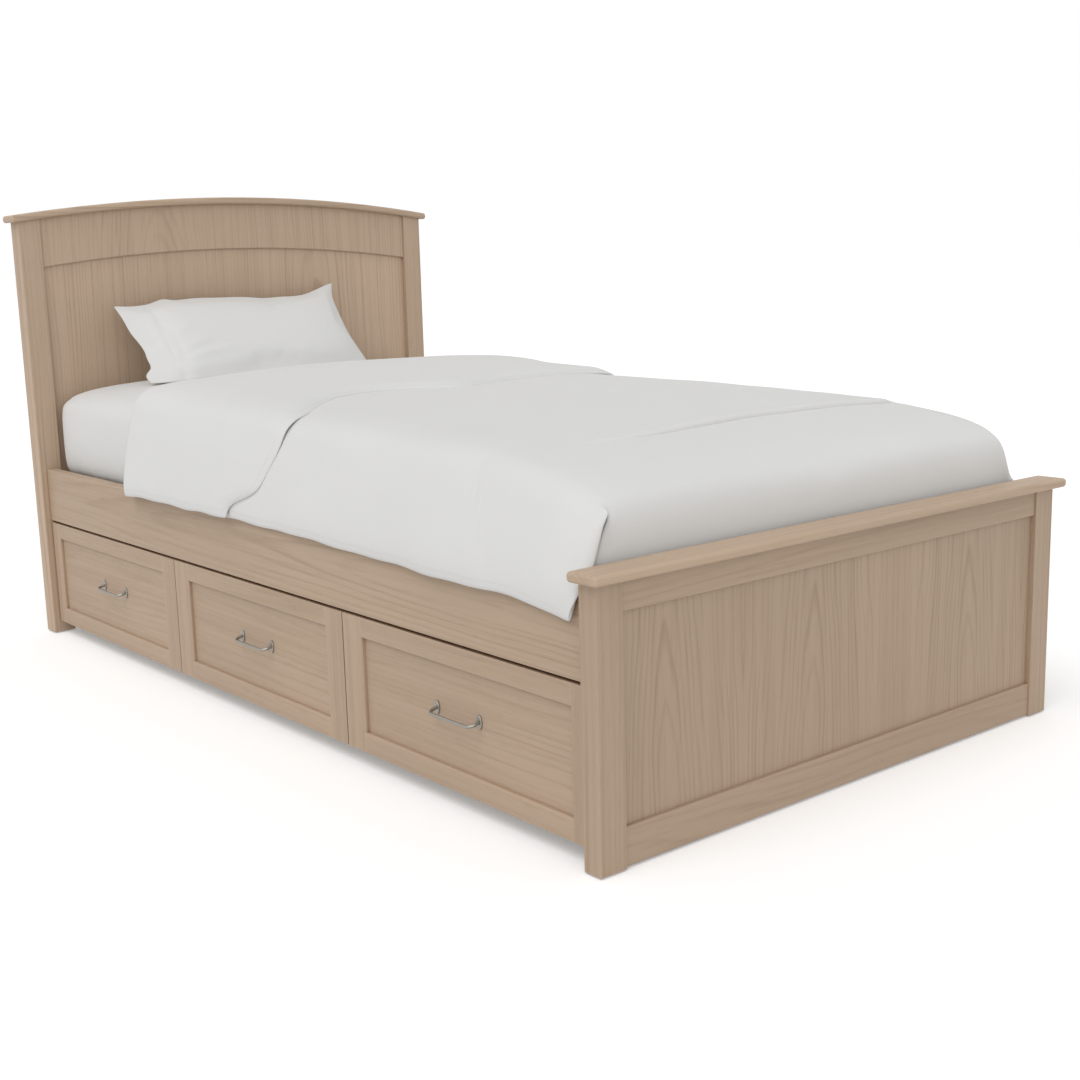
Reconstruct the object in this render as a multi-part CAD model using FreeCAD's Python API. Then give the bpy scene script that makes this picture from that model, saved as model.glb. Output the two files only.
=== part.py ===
import FreeCAD, Part
import math
import os

# Storage bed for a single mattress, in millimetres.
# X runs across the bed with the drawers on the -X side, Y from foot to head, Z up from the floor.
# The origin is on the floor under the middle of the whole bed.

# Mattress that the frame is built round
mattress_width = 990.0
mattress_length = 1905.0
mattress_thickness = 203.0
mattress_crown = 6.0
mattress_side_bulge = 4.0
mattress_edge_radius = 45.0
mattress_base_radius = 18.0
mattress_corner_radius = 50.0
mattress_side_gap = 25.0
mattress_head_gap = 5.0

# Posts and floor glides
post_width = 52.0
foot_post_depth = 36.0
head_post_depth = 46.0
post_ease = 2.0
glide_height = 3.0
glide_radius = 12.0

# Side rails and the board that closes the far side
side_rail_thickness = 24.0
side_rail_height = 122.0
rail_setback = 16.0
rail_ease = 2.0
skirt_thickness = 19.0

# Drawer fronts
drawer_count = 3
drawer_floor_gap = 30.0
drawer_front_height = 241.0
drawer_front_thickness = 19.0
drawer_rail_gap = 5.0
front_gap = 3.0
stile_width = 57.0
end_stile_width = 38.0
front_rail_height = 36.0
front_panel_thickness = 8.0
front_panel_recess = 8.0
recess_chamfer = 2.5
front_ease = 1.0

# Drawer boxes and the partitions between them
partition_thickness = 18.0
partition_floor_gap = 40.0
box_depth = 515.0
box_height = 170.0
box_side_thickness = 12.0
box_lift = 16.0
box_bottom_thickness = 6.0
box_bottom_lift = 8.0
box_groove_depth = 5.0

# Telescopic slides
slide_length = 500.0
slide_height = 45.0
slide_thickness = 12.7
slide_gauge = 1.2
slide_flange_reach = 9.6
slide_play = 0.3
slide_setback = 2.0
slide_lift = 60.0

# Pulls
pull_centres = 112.0
pull_bar_radius = 2.8
pull_lead = 6.0
pull_bend_radius = 12.0
pull_droop_angle = 16.0
pull_rise = 7.0
pull_plate_height = 24.0
pull_plate_width = 13.0
pull_plate_thickness = 3.0
pull_plate_ease = 1.2
pull_screw_radius = 2.0
pull_screw_head_radius = 4.0
pull_screw_head_height = 2.5
screw_hole_play = 0.3

# Footboard
foot_rise = 29.0
foot_board_setback = 4.0
foot_rail_thickness = 22.0
foot_top_rail_height = 47.0
foot_bottom_rail_height = 60.0
foot_bottom_rail_gap = 4.0
foot_panel_thickness = 12.0
foot_panel_recess = 11.0
foot_cap_front_overhang = 18.0
foot_cap_back_overhang = 8.0

# Headboard
head_spring_height = 972.0
arch_rise = 40.0
head_board_setback = 6.0
arch_rail_thickness = 24.0
arch_rail_height = 110.0
head_bottom_rail_height = 90.0
head_bottom_rail_gap = 30.0
head_panel_thickness = 12.0
head_panel_recess = 14.0
head_cap_front_overhang = 12.0
head_cap_back_overhang = 6.0

# Caps of both boards
cap_thickness = 16.0
cap_end_overhang = 16.0
cap_ease = 6.0

# Grooves that hold the panels
groove_depth = 8.0
groove_play = 0.5

# Slatted base
mattress_sink = 24.0
slat_count = 13
slat_width = 70.0
slat_thickness = 18.0
slat_end_play = 1.0
ledger_width = 25.0
ledger_height = 30.0
slat_screw_radius = 2.0
slat_screw_length = 32.0
slat_screw_head_radius = 4.0
slat_screw_head_height = 3.0

# Tongue plates that join the side rails to the posts
tongue_thickness = 3.0
tongue_height = 80.0
tongue_reach_in_rail = 45.0
tongue_reach_in_post = 14.0
tongue_play = 0.2
rail_pin_radius = 3.0
rail_pin_length = 20.0
rail_pin_spacing = 44.0
rail_pin_inset = 24.0

# Duvet
duvet_top_thickness = 18.0
duvet_side_thickness = 10.0
duvet_flap_lift = 13.0
duvet_flap_spread = 7.0
duvet_play = 0.3
duvet_rail_play = 1.5
duvet_foot_play = 2.0
duvet_foot_drop_thickness = 12.0
duvet_hem_drop = 14.0
duvet_roll_height = 8.0
duvet_shoulder_gain = 2.0
duvet_side_swell = 7.0
duvet_foot_thickness = 10.0
duvet_thin_length = 420.0
duvet_head_clear = 460.0
duvet_turnback = 560.0
duvet_turnback_slant = 90.0
duvet_turnback_bow = 23.0
duvet_wall_gap = 2.0

# Pillow
pillow_width = 640.0
pillow_length = 300.0
pillow_thickness = 130.0
pillow_corner_gain = 12.0
pillow_edge = 10.0
pillow_end_rise = 4.0
pillow_tilt = 48.0
pillow_offset = -45.0
pillow_head_play = 6.0
pillow_base_play = 0.3

# Shares used by the lofted soft forms
rounding_shares = (0.0, 0.06, 0.22, 0.5, 1.0)
pillow_station_shares = (-1.0, -0.93, -0.72, -0.35, 0.0, 0.35, 0.72, 0.93, 1.0)
fold_round_shares = (1.0, 0.5, 0.15, 0.0)
fold_edge_share = 0.25

# How far cutting tools run past the faces that they cut
overrun = 5.0

# Places worked out from the sizes, across the bed
rail_inner_x = mattress_width / 2 + mattress_side_gap
rail_face_x = rail_inner_x + side_rail_thickness
half_width = rail_face_x + rail_setback
post_inner_x = half_width - post_width
cap_end_x = half_width + cap_end_overhang

# Places along the bed
duvet_foot_room = foot_cap_back_overhang + duvet_foot_play + duvet_foot_drop_thickness + duvet_play
inner_length = duvet_foot_room + mattress_length + mattress_head_gap
post_span_length = foot_post_depth + inner_length + head_post_depth
overall_length = foot_cap_front_overhang + post_span_length + head_cap_back_overhang
foot_face_y = foot_cap_front_overhang - overall_length / 2
foot_inner_y = foot_face_y + foot_post_depth
head_inner_y = foot_inner_y + inner_length
head_back_y = head_inner_y + head_post_depth
mattress_foot_y = foot_inner_y + duvet_foot_room

# Heights
drawer_top_z = drawer_floor_gap + drawer_front_height
rail_base_z = drawer_top_z + drawer_rail_gap
rail_top_z = rail_base_z + side_rail_height
slat_top_z = rail_top_z - mattress_sink
slat_base_z = slat_top_z - slat_thickness
ledger_base_z = slat_base_z - ledger_height
mattress_top_z = slat_top_z + mattress_thickness
foot_top_z = rail_top_z + foot_rise
arch_radius = (half_width ** 2 + arch_rise ** 2) / (2 * arch_rise)
arch_centre_z = head_spring_height + arch_rise - arch_radius

# Drawer bays
bay_width = (inner_length - (drawer_count + 1) * partition_thickness) / drawer_count
front_width = (inner_length - (drawer_count + 1) * front_gap) / drawer_count
front_back_x = -rail_face_x + drawer_front_thickness
panel_face_x = -rail_face_x + front_panel_recess
box_back_x = front_back_x + box_depth
box_base_z = drawer_floor_gap + box_lift
slide_z = box_base_z + slide_lift
slide_front_x = -rail_inner_x + slide_setback

SIDES = (-1, 1)


def vec(x, y, z):
    return FreeCAD.Vector(x, y, z)


def box(x, y, z):
    """A block between the low and high places given for each direction."""
    return Part.makeBox(x[1] - x[0], y[1] - y[0], z[1] - z[0], vec(x[0], y[0], z[0]))


def span(side, near, far):
    """The low and high X of something between two distances from the bed's middle line, on one side of it."""
    return sorted((side * near, side * far))


def edges_along(shape, axis):
    """The straight edges of a shape that run along an axis."""
    found = []
    for edge in shape.Edges:
        direction = edge.tangentAt(edge.FirstParameter)
        if isinstance(edge.Curve, Part.Line) and abs(direction.dot(axis)) > math.cos(math.radians(1)):
            found.append(edge)
    return found


def board(x, y, z, ease, axis):
    """A block whose four long edges are eased."""
    shape = box(x, y, z)
    return shape.makeFillet(ease, edges_along(shape, axis))


def cylinder(radius, start, end):
    along = end - start
    return Part.makeCylinder(radius, along.Length, start, along)


def save(name, *shapes):
    """Writes one node, made of one solid or of a group of them."""
    shape = shapes[0] if len(shapes) == 1 else Part.makeCompound(shapes)
    shape.exportStep("parts/" + name + ".step")


ALONG_X = vec(1, 0, 0)
ALONG_Y = vec(0, 1, 0)
ALONG_Z = vec(0, 0, 1)


# Arched outlines of the headboard


def arch_z(x, radius):
    return arch_centre_z + math.sqrt(radius ** 2 - x ** 2)


def arch_edge(x_start, x_end, radius, y):
    x_middle = (x_start + x_end) / 2
    points = [vec(x, y, arch_z(x, radius)) for x in (x_start, x_middle, x_end)]
    return Part.Arc(*points).toShape()


def under_arch(x, y, low_z, radius):
    """A board that stands on a level edge and whose top follows the arch."""
    left = vec(x[0], y[0], arch_z(x[0], radius))
    right = vec(x[1], y[0], arch_z(x[1], radius))
    base_left = vec(x[0], y[0], low_z)
    base_right = vec(x[1], y[0], low_z)
    edges = [
        arch_edge(x[0], x[1], radius, y[0]),
        Part.makeLine(right, base_right),
        Part.makeLine(base_right, base_left),
        Part.makeLine(base_left, left),
    ]
    return Part.Face(Part.Wire(edges)).extrude(vec(0, y[1] - y[0], 0))


def arched_board(reach, y, low_radius, high_radius):
    """A board between two arches that share a centre, with upright ends."""
    low_z = arch_z(reach, low_radius)
    high_z = arch_z(reach, high_radius)
    edges = [
        arch_edge(-reach, reach, high_radius, y[0]),
        Part.makeLine(vec(reach, y[0], high_z), vec(reach, y[0], low_z)),
        arch_edge(reach, -reach, low_radius, y[0]),
        Part.makeLine(vec(-reach, y[0], low_z), vec(-reach, y[0], high_z)),
    ]
    return Part.Face(Part.Wire(edges)).extrude(vec(0, y[1] - y[0], 0))


# Tongue plates and pins between side rails and posts


def tongue_box(side, end, play):
    """One plate, or with some play the slot that takes it. End is -1 at the foot and 1 at the head."""
    middle_x = side * (rail_inner_x + side_rail_thickness / 2)
    half = tongue_thickness / 2 + play
    joint_y = foot_inner_y if end < 0 else head_inner_y
    post_end_y = joint_y + end * (tongue_reach_in_post + play)
    rail_end_y = joint_y - end * (tongue_reach_in_rail + play)
    ends_y = sorted((post_end_y, rail_end_y))
    middle_z = (rail_base_z + rail_top_z) / 2
    half_height = tongue_height / 2 + play
    return box((middle_x - half, middle_x + half), ends_y, (middle_z - half_height, middle_z + half_height))


def pin_bodies(side, end, play):
    """The two cross pins of one plate, or with some play their holes."""
    joint_y = foot_inner_y if end < 0 else head_inner_y
    middle_z = (rail_base_z + rail_top_z) / 2
    pins = []
    for step in SIDES:
        pin_z = middle_z + step * rail_pin_spacing / 2
        start = vec(side * rail_inner_x, joint_y - end * rail_pin_inset, pin_z)
        finish = start + vec(side * (rail_pin_length + play), 0, 0)
        pins.append(cylinder(rail_pin_radius + play, start, finish))
    return pins


# Footboard


def make_footboard():
    panel_y = (foot_face_y + foot_panel_recess, foot_face_y + foot_panel_recess + foot_panel_thickness)
    rail_y = (foot_face_y + foot_board_setback, foot_face_y + foot_board_setback + foot_rail_thickness)
    bottom_z = (foot_bottom_rail_gap, foot_bottom_rail_gap + foot_bottom_rail_height)
    top_z = (foot_top_z - foot_top_rail_height, foot_top_z)
    reach = post_inner_x + groove_depth
    groove_z = (bottom_z[1] - groove_depth, top_z[0] + groove_depth)
    groove = box((-reach, reach), panel_y, groove_z)
    panel_x = (-reach + groove_play, reach - groove_play)
    panel = box(panel_x, panel_y, (groove_z[0] + groove_play, groove_z[1] - groove_play))
    save("foot_panel", panel)

    rail_x = (-post_inner_x, post_inner_x)
    save("foot_top_rail", board(rail_x, rail_y, top_z, rail_ease, ALONG_X).cut(groove))
    save("foot_bottom_rail", board(rail_x, rail_y, bottom_z, rail_ease, ALONG_X).cut(groove))

    for side, name in zip(SIDES, ("left", "right")):
        post_x = span(side, post_inner_x, half_width)
        post = board(post_x, (foot_face_y, foot_inner_y), (glide_height, foot_top_z), post_ease, ALONG_Z)
        post = post.cut(groove).cut(tongue_box(side, -1, tongue_play))
        save("foot_post_" + name, post)

    cap_y = (foot_face_y - foot_cap_front_overhang, foot_inner_y + foot_cap_back_overhang)
    cap = box((-cap_end_x, cap_end_x), cap_y, (foot_top_z, foot_top_z + cap_thickness))
    save("foot_cap", cap.makeFillet(cap_ease, cap.Edges))


# Headboard


def make_headboard():
    panel_face_y = head_inner_y + head_panel_recess
    panel_y = (panel_face_y, panel_face_y + head_panel_thickness)
    rail_y = (head_inner_y + head_board_setback, head_inner_y + head_board_setback + arch_rail_thickness)
    bottom_z = (head_bottom_rail_gap, head_bottom_rail_gap + head_bottom_rail_height)
    low_radius = arch_radius - arch_rail_height
    reach = post_inner_x + groove_depth
    groove = under_arch((-reach, reach), panel_y, bottom_z[1] - groove_depth, low_radius + groove_depth)
    inset = reach - groove_play
    panel_base_z = bottom_z[1] - groove_depth + groove_play
    panel = under_arch((-inset, inset), panel_y, panel_base_z, low_radius + groove_depth - groove_play)
    save("head_panel", panel)

    rail = arched_board(post_inner_x, rail_y, low_radius, arch_radius)
    arcs = [e for e in rail.Edges if isinstance(e.Curve, Part.Circle)]
    low_edges = [e for e in arcs if e.Curve.Radius < arch_radius - groove_depth]
    save("head_arch_rail", rail.makeChamfer(rail_ease, low_edges).cut(groove))
    bottom = board((-post_inner_x, post_inner_x), rail_y, bottom_z, rail_ease, ALONG_X)
    save("head_bottom_rail", bottom.cut(groove))

    for side, name in zip(SIDES, ("left", "right")):
        post_x = span(side, post_inner_x, half_width)
        post = under_arch(post_x, (head_inner_y, head_back_y), glide_height, arch_radius)
        post = post.makeFillet(post_ease, edges_along(post, ALONG_Z))
        post = post.cut(groove).cut(tongue_box(side, 1, tongue_play))
        save("head_post_" + name, post)

    cap_y = (head_inner_y - head_cap_front_overhang, head_back_y + head_cap_back_overhang)
    cap = arched_board(cap_end_x, cap_y, arch_radius, arch_radius + cap_thickness)
    save("head_cap", cap.makeFillet(cap_ease, cap.Edges))


# Side rails, far side board, glides and the plates that join rails to posts


def make_sides():
    plates = []
    pins = []
    glides = []
    for side, name in zip(SIDES, ("left", "right")):
        rail_x = span(side, rail_inner_x, rail_face_x)
        rail = board(rail_x, (foot_inner_y, head_inner_y), (rail_base_z, rail_top_z), rail_ease, ALONG_Y)
        for end in SIDES:
            rail = rail.cut(tongue_box(side, end, tongue_play))
            plate = tongue_box(side, end, 0)
            for hole in pin_bodies(side, end, tongue_play):
                rail = rail.cut(hole)
                plate = plate.cut(hole)
            plates.append(plate)
            pins.extend(pin_bodies(side, end, 0))
            depth = foot_post_depth if end < 0 else head_post_depth
            inner_y = foot_inner_y if end < 0 else head_inner_y
            foot = vec(side * (half_width - post_width / 2), inner_y + end * depth / 2, 0)
            glides.append(cylinder(glide_radius, foot, foot + vec(0, 0, glide_height)))
        save("side_rail_" + name, rail)
    save("rail_tongues", *plates)
    save("rail_pins", *pins)
    save("floor_glides", *glides)

    skirt_x = (rail_face_x - skirt_thickness, rail_face_x)
    skirt = board(skirt_x, (foot_inner_y, head_inner_y), (drawer_floor_gap, rail_base_z), rail_ease, ALONG_Y)
    save("side_skirt_right", skirt)


# Slatted base


def make_slats():
    pitch = (inner_length - slat_width) / (slat_count - 1)
    reach = rail_inner_x - slat_end_play
    screw_x = rail_inner_x - ledger_width / 2
    ledgers = []
    for side in SIDES:
        ledger_x = span(side, rail_inner_x - ledger_width, rail_inner_x)
        ledgers.append(box(ledger_x, (foot_inner_y, head_inner_y), (ledger_base_z, slat_base_z)))
    slats = []
    screws = []
    for i in range(slat_count):
        low_y = foot_inner_y + i * pitch
        slat = box((-reach, reach), (low_y, low_y + slat_width), (slat_base_z, slat_top_z))
        for k, side in enumerate(SIDES):
            top = vec(side * screw_x, low_y + slat_width / 2, slat_top_z)
            seat = top - vec(0, 0, slat_screw_head_height)
            tip = top - vec(0, 0, slat_screw_length)
            head = cylinder(slat_screw_head_radius, seat, top)
            screws.append(head.fuse(cylinder(slat_screw_radius, tip, seat)).removeSplitter())
            counterbore = cylinder(slat_screw_head_radius + screw_hole_play, seat, top)
            hole = cylinder(slat_screw_radius + screw_hole_play, tip, seat)
            slat = slat.cut(counterbore).cut(hole)
            ledgers[k] = ledgers[k].cut(hole)
        slats.append(slat)
    save("slats", *slats)
    save("slat_ledgers", *ledgers)
    save("slat_screws", *screws)


# Partitions and slides


def channel(side, low_y, web, tip, half_height, x):
    """A slide member: a web with two flanges, at distances from the partition's face."""
    inner_height = half_height - slide_gauge
    far_web = web + slide_gauge if tip > web else web - slide_gauge
    profile = [
        (web, -half_height), (tip, -half_height), (tip, -inner_height), (far_web, -inner_height),
        (far_web, inner_height), (tip, inner_height), (tip, half_height), (web, half_height),
    ]
    points = [vec(x[0], low_y + side * y, slide_z + z) for y, z in profile]
    face = Part.Face(Part.makePolygon(points + points[:1]))
    return face.extrude(vec(x[1] - x[0], 0, 0))


def bay_edges(i):
    low = foot_inner_y + partition_thickness + i * (bay_width + partition_thickness)
    return low, low + bay_width


def make_partitions():
    partition_x = (-rail_inner_x, rail_inner_x)
    partition_z = (partition_floor_gap, ledger_base_z)
    partitions = []
    for i in range(drawer_count + 1):
        low_y = foot_inner_y + i * (bay_width + partition_thickness)
        partitions.append(box(partition_x, (low_y, low_y + partition_thickness), partition_z))
    save("case_partitions", *partitions)


def make_slides():
    x = (slide_front_x, slide_front_x + slide_length)
    outer_half = slide_height / 2
    middle_half = outer_half - slide_gauge - slide_play
    inner_half = middle_half - slide_gauge - slide_play
    middle_web = slide_gauge + slide_play
    inner_tip = middle_web + slide_gauge + slide_play
    outers = []
    for i in range(drawer_count):
        middles = []
        inners = []
        for side, face_y in zip(SIDES, bay_edges(i)):
            outers.append(channel(-side, face_y, 0, slide_flange_reach, outer_half, x))
            middles.append(channel(-side, face_y, middle_web, slide_flange_reach, middle_half, x))
            inners.append(channel(-side, face_y, slide_thickness, inner_tip, inner_half, x))
        save("drawer_%d_slide_middle" % (i + 1), *middles)
        save("drawer_%d_slide_inner" % (i + 1), *inners)
    save("slide_outer", *outers)


# Drawer fronts, boxes and pulls


def recess_tool(opening_y, opening_z):
    """The shallow tapered block that chamfers the edge round a recessed panel."""
    face_x = -rail_face_x
    wires = []
    for depth, grow in ((-overrun, recess_chamfer + overrun), (recess_chamfer, 0)):
        low_y, high_y = opening_y[0] - grow, opening_y[1] + grow
        low_z, high_z = opening_z[0] - grow, opening_z[1] + grow
        x = face_x + depth
        corners = [vec(x, low_y, low_z), vec(x, high_y, low_z), vec(x, high_y, high_z), vec(x, low_y, high_z)]
        wires.append(Part.makePolygon(corners + corners[:1]))
    return Part.makeLoft(wires, True, True)


def front_places(i):
    low_y = foot_inner_y + front_gap + i * (front_width + front_gap)
    return (low_y, low_y + front_width), (drawer_floor_gap, drawer_top_z)


def pull_places(i):
    front_y, front_z = front_places(i)
    middle_y = (front_y[0] + front_y[1]) / 2
    z = (front_z[0] + front_z[1]) / 2 + pull_rise
    return [vec(panel_face_x, middle_y + side * pull_centres / 2, z) for side in SIDES]


def make_front(i):
    front_y, front_z = front_places(i)
    front_x = (-rail_face_x, front_back_x)
    low_stile = end_stile_width if i == 0 else stile_width
    high_stile = end_stile_width if i == drawer_count - 1 else stile_width
    opening_y = (front_y[0] + low_stile, front_y[1] - high_stile)
    opening_z = (front_z[0] + front_rail_height, front_z[1] - front_rail_height)
    panel_x = (panel_face_x, panel_face_x + front_panel_thickness)
    groove_y = (opening_y[0] - groove_depth, opening_y[1] + groove_depth)
    groove_z = (opening_z[0] - groove_depth, opening_z[1] + groove_depth)
    groove = box(panel_x, groove_y, groove_z)
    chamfer = recess_tool(opening_y, opening_z)
    panel_y = (groove_y[0] + groove_play, groove_y[1] - groove_play)
    panel = box(panel_x, panel_y, (groove_z[0] + groove_play, groove_z[1] - groove_play))

    outline = box(front_x, front_y, front_z)
    outer_edges = [e for e in outline.Edges if abs(e.CenterOfMass.x - front_x[0]) < front_ease / 2]
    outline = outline.makeFillet(front_ease, outer_edges)
    wide_x = (front_x[0] - overrun, front_x[1] + overrun)
    wide_z = (front_z[0] - overrun, front_z[1] + overrun)
    stile_places = ((front_y[0] - overrun, opening_y[0]), (opening_y[1], front_y[1] + overrun))
    rail_places = ((front_z[0] - overrun, opening_z[0]), (opening_z[1], front_z[1] + overrun))
    stiles = [outline.common(box(wide_x, y, wide_z)).cut(groove).cut(chamfer) for y in stile_places]
    rails = [outline.common(box(wide_x, opening_y, z)).cut(groove).cut(chamfer) for z in rail_places]

    for place in pull_places(i):
        panel = panel.cut(screw_hole(place))
    name = "drawer_%d_" % (i + 1)
    save(name + "front_panel", panel)
    save(name + "front_stiles", *stiles)
    save(name + "front_rails", *rails)


def screw_hole(place):
    """The hole for one pull screw, from inside the box to past the pull's plate."""
    inside = vec(front_back_x + box_side_thickness, place.y, place.z)
    outside = place - vec(pull_plate_thickness, 0, 0)
    return cylinder(pull_screw_radius + screw_hole_play, outside, inside)


def make_box(i):
    low_y, high_y = bay_edges(i)
    outer_y = (low_y + slide_thickness, high_y - slide_thickness)
    inner_y = (outer_y[0] + box_side_thickness, outer_y[1] - box_side_thickness)
    box_x = (front_back_x, box_back_x)
    box_z = (box_base_z, box_base_z + box_height)
    bottom_z = (box_z[0] + box_bottom_lift, box_z[0] + box_bottom_lift + box_bottom_thickness)
    inner_x = (box_x[0] + box_side_thickness, box_x[1] - box_side_thickness)
    groove_x = (inner_x[0] - box_groove_depth, inner_x[1] + box_groove_depth)
    groove_y = (inner_y[0] - box_groove_depth, inner_y[1] + box_groove_depth)
    groove = box(groove_x, groove_y, bottom_z)
    bottom_x = (groove_x[0] + groove_play, groove_x[1] - groove_play)
    bottom = box(bottom_x, (groove_y[0] + groove_play, groove_y[1] - groove_play), bottom_z)

    sides = [box(box_x, y, box_z).cut(groove) for y in ((outer_y[0], inner_y[0]), (inner_y[1], outer_y[1]))]
    ends = [box(x, inner_y, box_z).cut(groove) for x in ((box_x[0], inner_x[0]), (inner_x[1], box_x[1]))]
    for place in pull_places(i):
        ends[0] = ends[0].cut(screw_hole(place))
    name = "drawer_%d_" % (i + 1)
    save(name + "box_sides", *sides)
    save(name + "box_ends", *ends)
    save(name + "box_bottom", bottom)


def pull_plate(place):
    """An oval plate with an eased edge, on the panel's face."""
    upright = FreeCAD.Placement(place, FreeCAD.Rotation(ALONG_Y, -90))
    oval = Part.Ellipse(vec(0, 0, 0), pull_plate_height / 2, pull_plate_width / 2).toShape()
    plate = Part.Face(Part.Wire(oval)).extrude(vec(0, 0, pull_plate_thickness))
    rim = [e for e in plate.Edges if abs(e.CenterOfMass.z - pull_plate_thickness) < pull_plate_ease / 2]
    plate = plate.makeFillet(pull_plate_ease, rim)
    plate.Placement = upright
    return plate.cut(screw_hole(place))


def pull_bar(places):
    """The bent bar between two plates. It runs out from each plate and droops a little."""
    droop = math.radians(pull_droop_angle)
    out = vec(-math.cos(droop), 0, -math.sin(droop))
    starts = [place - vec(pull_plate_thickness, 0, 0) for place in places]
    leads = [start + out * pull_lead for start in starts]
    diagonal = math.cos(math.radians(45))
    mids = []
    ends = []
    for lead, side in zip(leads, SIDES):
        centre = lead - ALONG_Y * side * pull_bend_radius
        mids.append(centre + (out + ALONG_Y * side) * pull_bend_radius * diagonal)
        ends.append(centre + out * pull_bend_radius)
    path = Part.Wire([
        Part.makeLine(starts[0], leads[0]),
        Part.Arc(leads[0], mids[0], ends[0]).toShape(),
        Part.makeLine(ends[0], ends[1]),
        Part.Arc(ends[1], mids[1], leads[1]).toShape(),
        Part.makeLine(leads[1], starts[1]),
    ])
    section = Part.Wire(Part.makeCircle(pull_bar_radius, starts[0], out))
    bar = path.makePipeShell([section], True, False)
    reach = pull_bar_radius + overrun
    plate_y = (starts[0].y - reach, starts[1].y + reach)
    plate_z = (starts[0].z - reach, starts[0].z + reach)
    return bar.cut(box((starts[0].x, starts[0].x + overrun), plate_y, plate_z))


def make_pull(i):
    places = pull_places(i)
    screws = []
    for place in places:
        seat = vec(front_back_x + box_side_thickness, place.y, place.z)
        head = cylinder(pull_screw_head_radius, seat, seat + vec(pull_screw_head_height, 0, 0))
        shank = cylinder(pull_screw_radius, place - vec(pull_plate_thickness, 0, 0), seat)
        screws.append(head.fuse(shank).removeSplitter())
    name = "drawer_%d_" % (i + 1)
    save(name + "pull_bar", pull_bar(places))
    save(name + "pull_plates", *[pull_plate(place) for place in places])
    save(name + "pull_screws", *screws)


# Mattress, duvet and pillow


def arc(start, middle, end):
    """An arc through three points."""
    return Part.Arc(start, middle, end).toShape()


def quarter_drop(distance, radius):
    """How far a rounded edge of this radius has dropped, at a distance in from the end."""
    rest = max(radius - distance, 0)
    return radius - math.sqrt(radius ** 2 - rest ** 2)


def cushion_section(y, half, low_z, high_z):
    """A level base, bulging sides, rounded edges and a crowned top, across the mattress."""
    diagonal = 1 - math.cos(math.radians(45))
    low = mattress_base_radius
    high = mattress_edge_radius
    middle_z = (low_z + low + high_z - high) / 2
    right = [
        (half - low, low_z), (half - low * diagonal, low_z + low * diagonal), (half, low_z + low),
        (half + mattress_side_bulge, middle_z),
        (half, high_z - high), (half - high * diagonal, high_z - high * diagonal), (half - high, high_z),
    ]
    r = [vec(x, y, z) for x, z in right]
    m = [vec(-x, y, z) for x, z in right]
    return Part.Wire([
        Part.makeLine(m[0], r[0]),
        arc(r[0], r[1], r[2]),
        arc(r[2], r[3], r[4]),
        arc(r[4], r[5], r[6]),
        arc(r[6], vec(0, y, high_z + mattress_crown), m[6]),
        arc(m[6], m[5], m[4]),
        arc(m[4], m[3], m[2]),
        arc(m[2], m[1], m[0]),
    ])


def make_mattress():
    places = [share * mattress_corner_radius for share in rounding_shares]
    stations = places + [mattress_length - place for place in reversed(places)]
    sections = []
    for station in stations:
        distance = min(station, mattress_length - station)
        half = mattress_width / 2 - quarter_drop(distance, mattress_corner_radius)
        high_z = mattress_top_z - quarter_drop(distance, mattress_edge_radius)
        low_z = slat_top_z + quarter_drop(distance, mattress_base_radius)
        sections.append(cushion_section(mattress_foot_y + station, half, low_z, high_z))
    save("mattress", Part.makeLoft(sections, True, True))


def duvet_curve(y, drop, top, side):
    """One face of the duvet across the bed, as points from its right hem over the top to its left hem."""
    hem_x = rail_face_x + duvet_rail_play + side
    shoulder_x = mattress_width / 2 + mattress_side_bulge + duvet_play
    top_z = mattress_top_z + duvet_play - drop
    shoulder = mattress_edge_radius + duvet_shoulder_gain
    centre_x, centre_z = shoulder_x - shoulder, top_z - shoulder
    diagonal = math.cos(math.radians(45))
    roll_z = rail_top_z + duvet_roll_height
    side_x = shoulder_x + side
    half = [
        (hem_x, rail_top_z - duvet_hem_drop),
        (hem_x, roll_z),
        ((hem_x + side_x) / 2 + duvet_side_swell, (roll_z + centre_z) / 2),
        (side_x, centre_z),
        (centre_x + (shoulder + side) * diagonal, centre_z + (shoulder + top) * diagonal),
        (centre_x, top_z + top),
    ]
    right = [vec(x, y, z) for x, z in half]
    left = [vec(-x, y, z) for x, z in reversed(half)]
    return right + [vec(0, y, top_z + top + mattress_crown)] + left


def duvet_edges(p):
    return [
        Part.makeLine(p[0], p[1]),
        arc(p[1], p[2], p[3]),
        arc(p[3], p[4], p[5]),
        arc(p[5], p[6], p[7]),
        arc(p[7], p[8], p[9]),
        arc(p[9], p[10], p[11]),
        Part.makeLine(p[11], p[12]),
    ]


def duvet_section(y, drop, top, side):
    outer = duvet_curve(y, drop, top, side)
    inner = duvet_curve(y, drop, 0, 0)[::-1]
    edges = duvet_edges(outer) + [Part.makeLine(outer[-1], inner[0])]
    edges += duvet_edges(inner) + [Part.makeLine(inner[-1], outer[0])]
    return Part.Wire(edges)


def duvet_foot_section(y, drop):
    """The whole outline at the foot, where the duvet drops behind the footboard."""
    outer = duvet_curve(y, drop, duvet_foot_thickness, duvet_side_thickness)
    base_z = rail_top_z + duvet_wall_gap
    outer[0].z = base_z
    outer[-1].z = base_z
    return Part.Wire(duvet_edges(outer) + [Part.makeLine(outer[-1], outer[0])])


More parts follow.
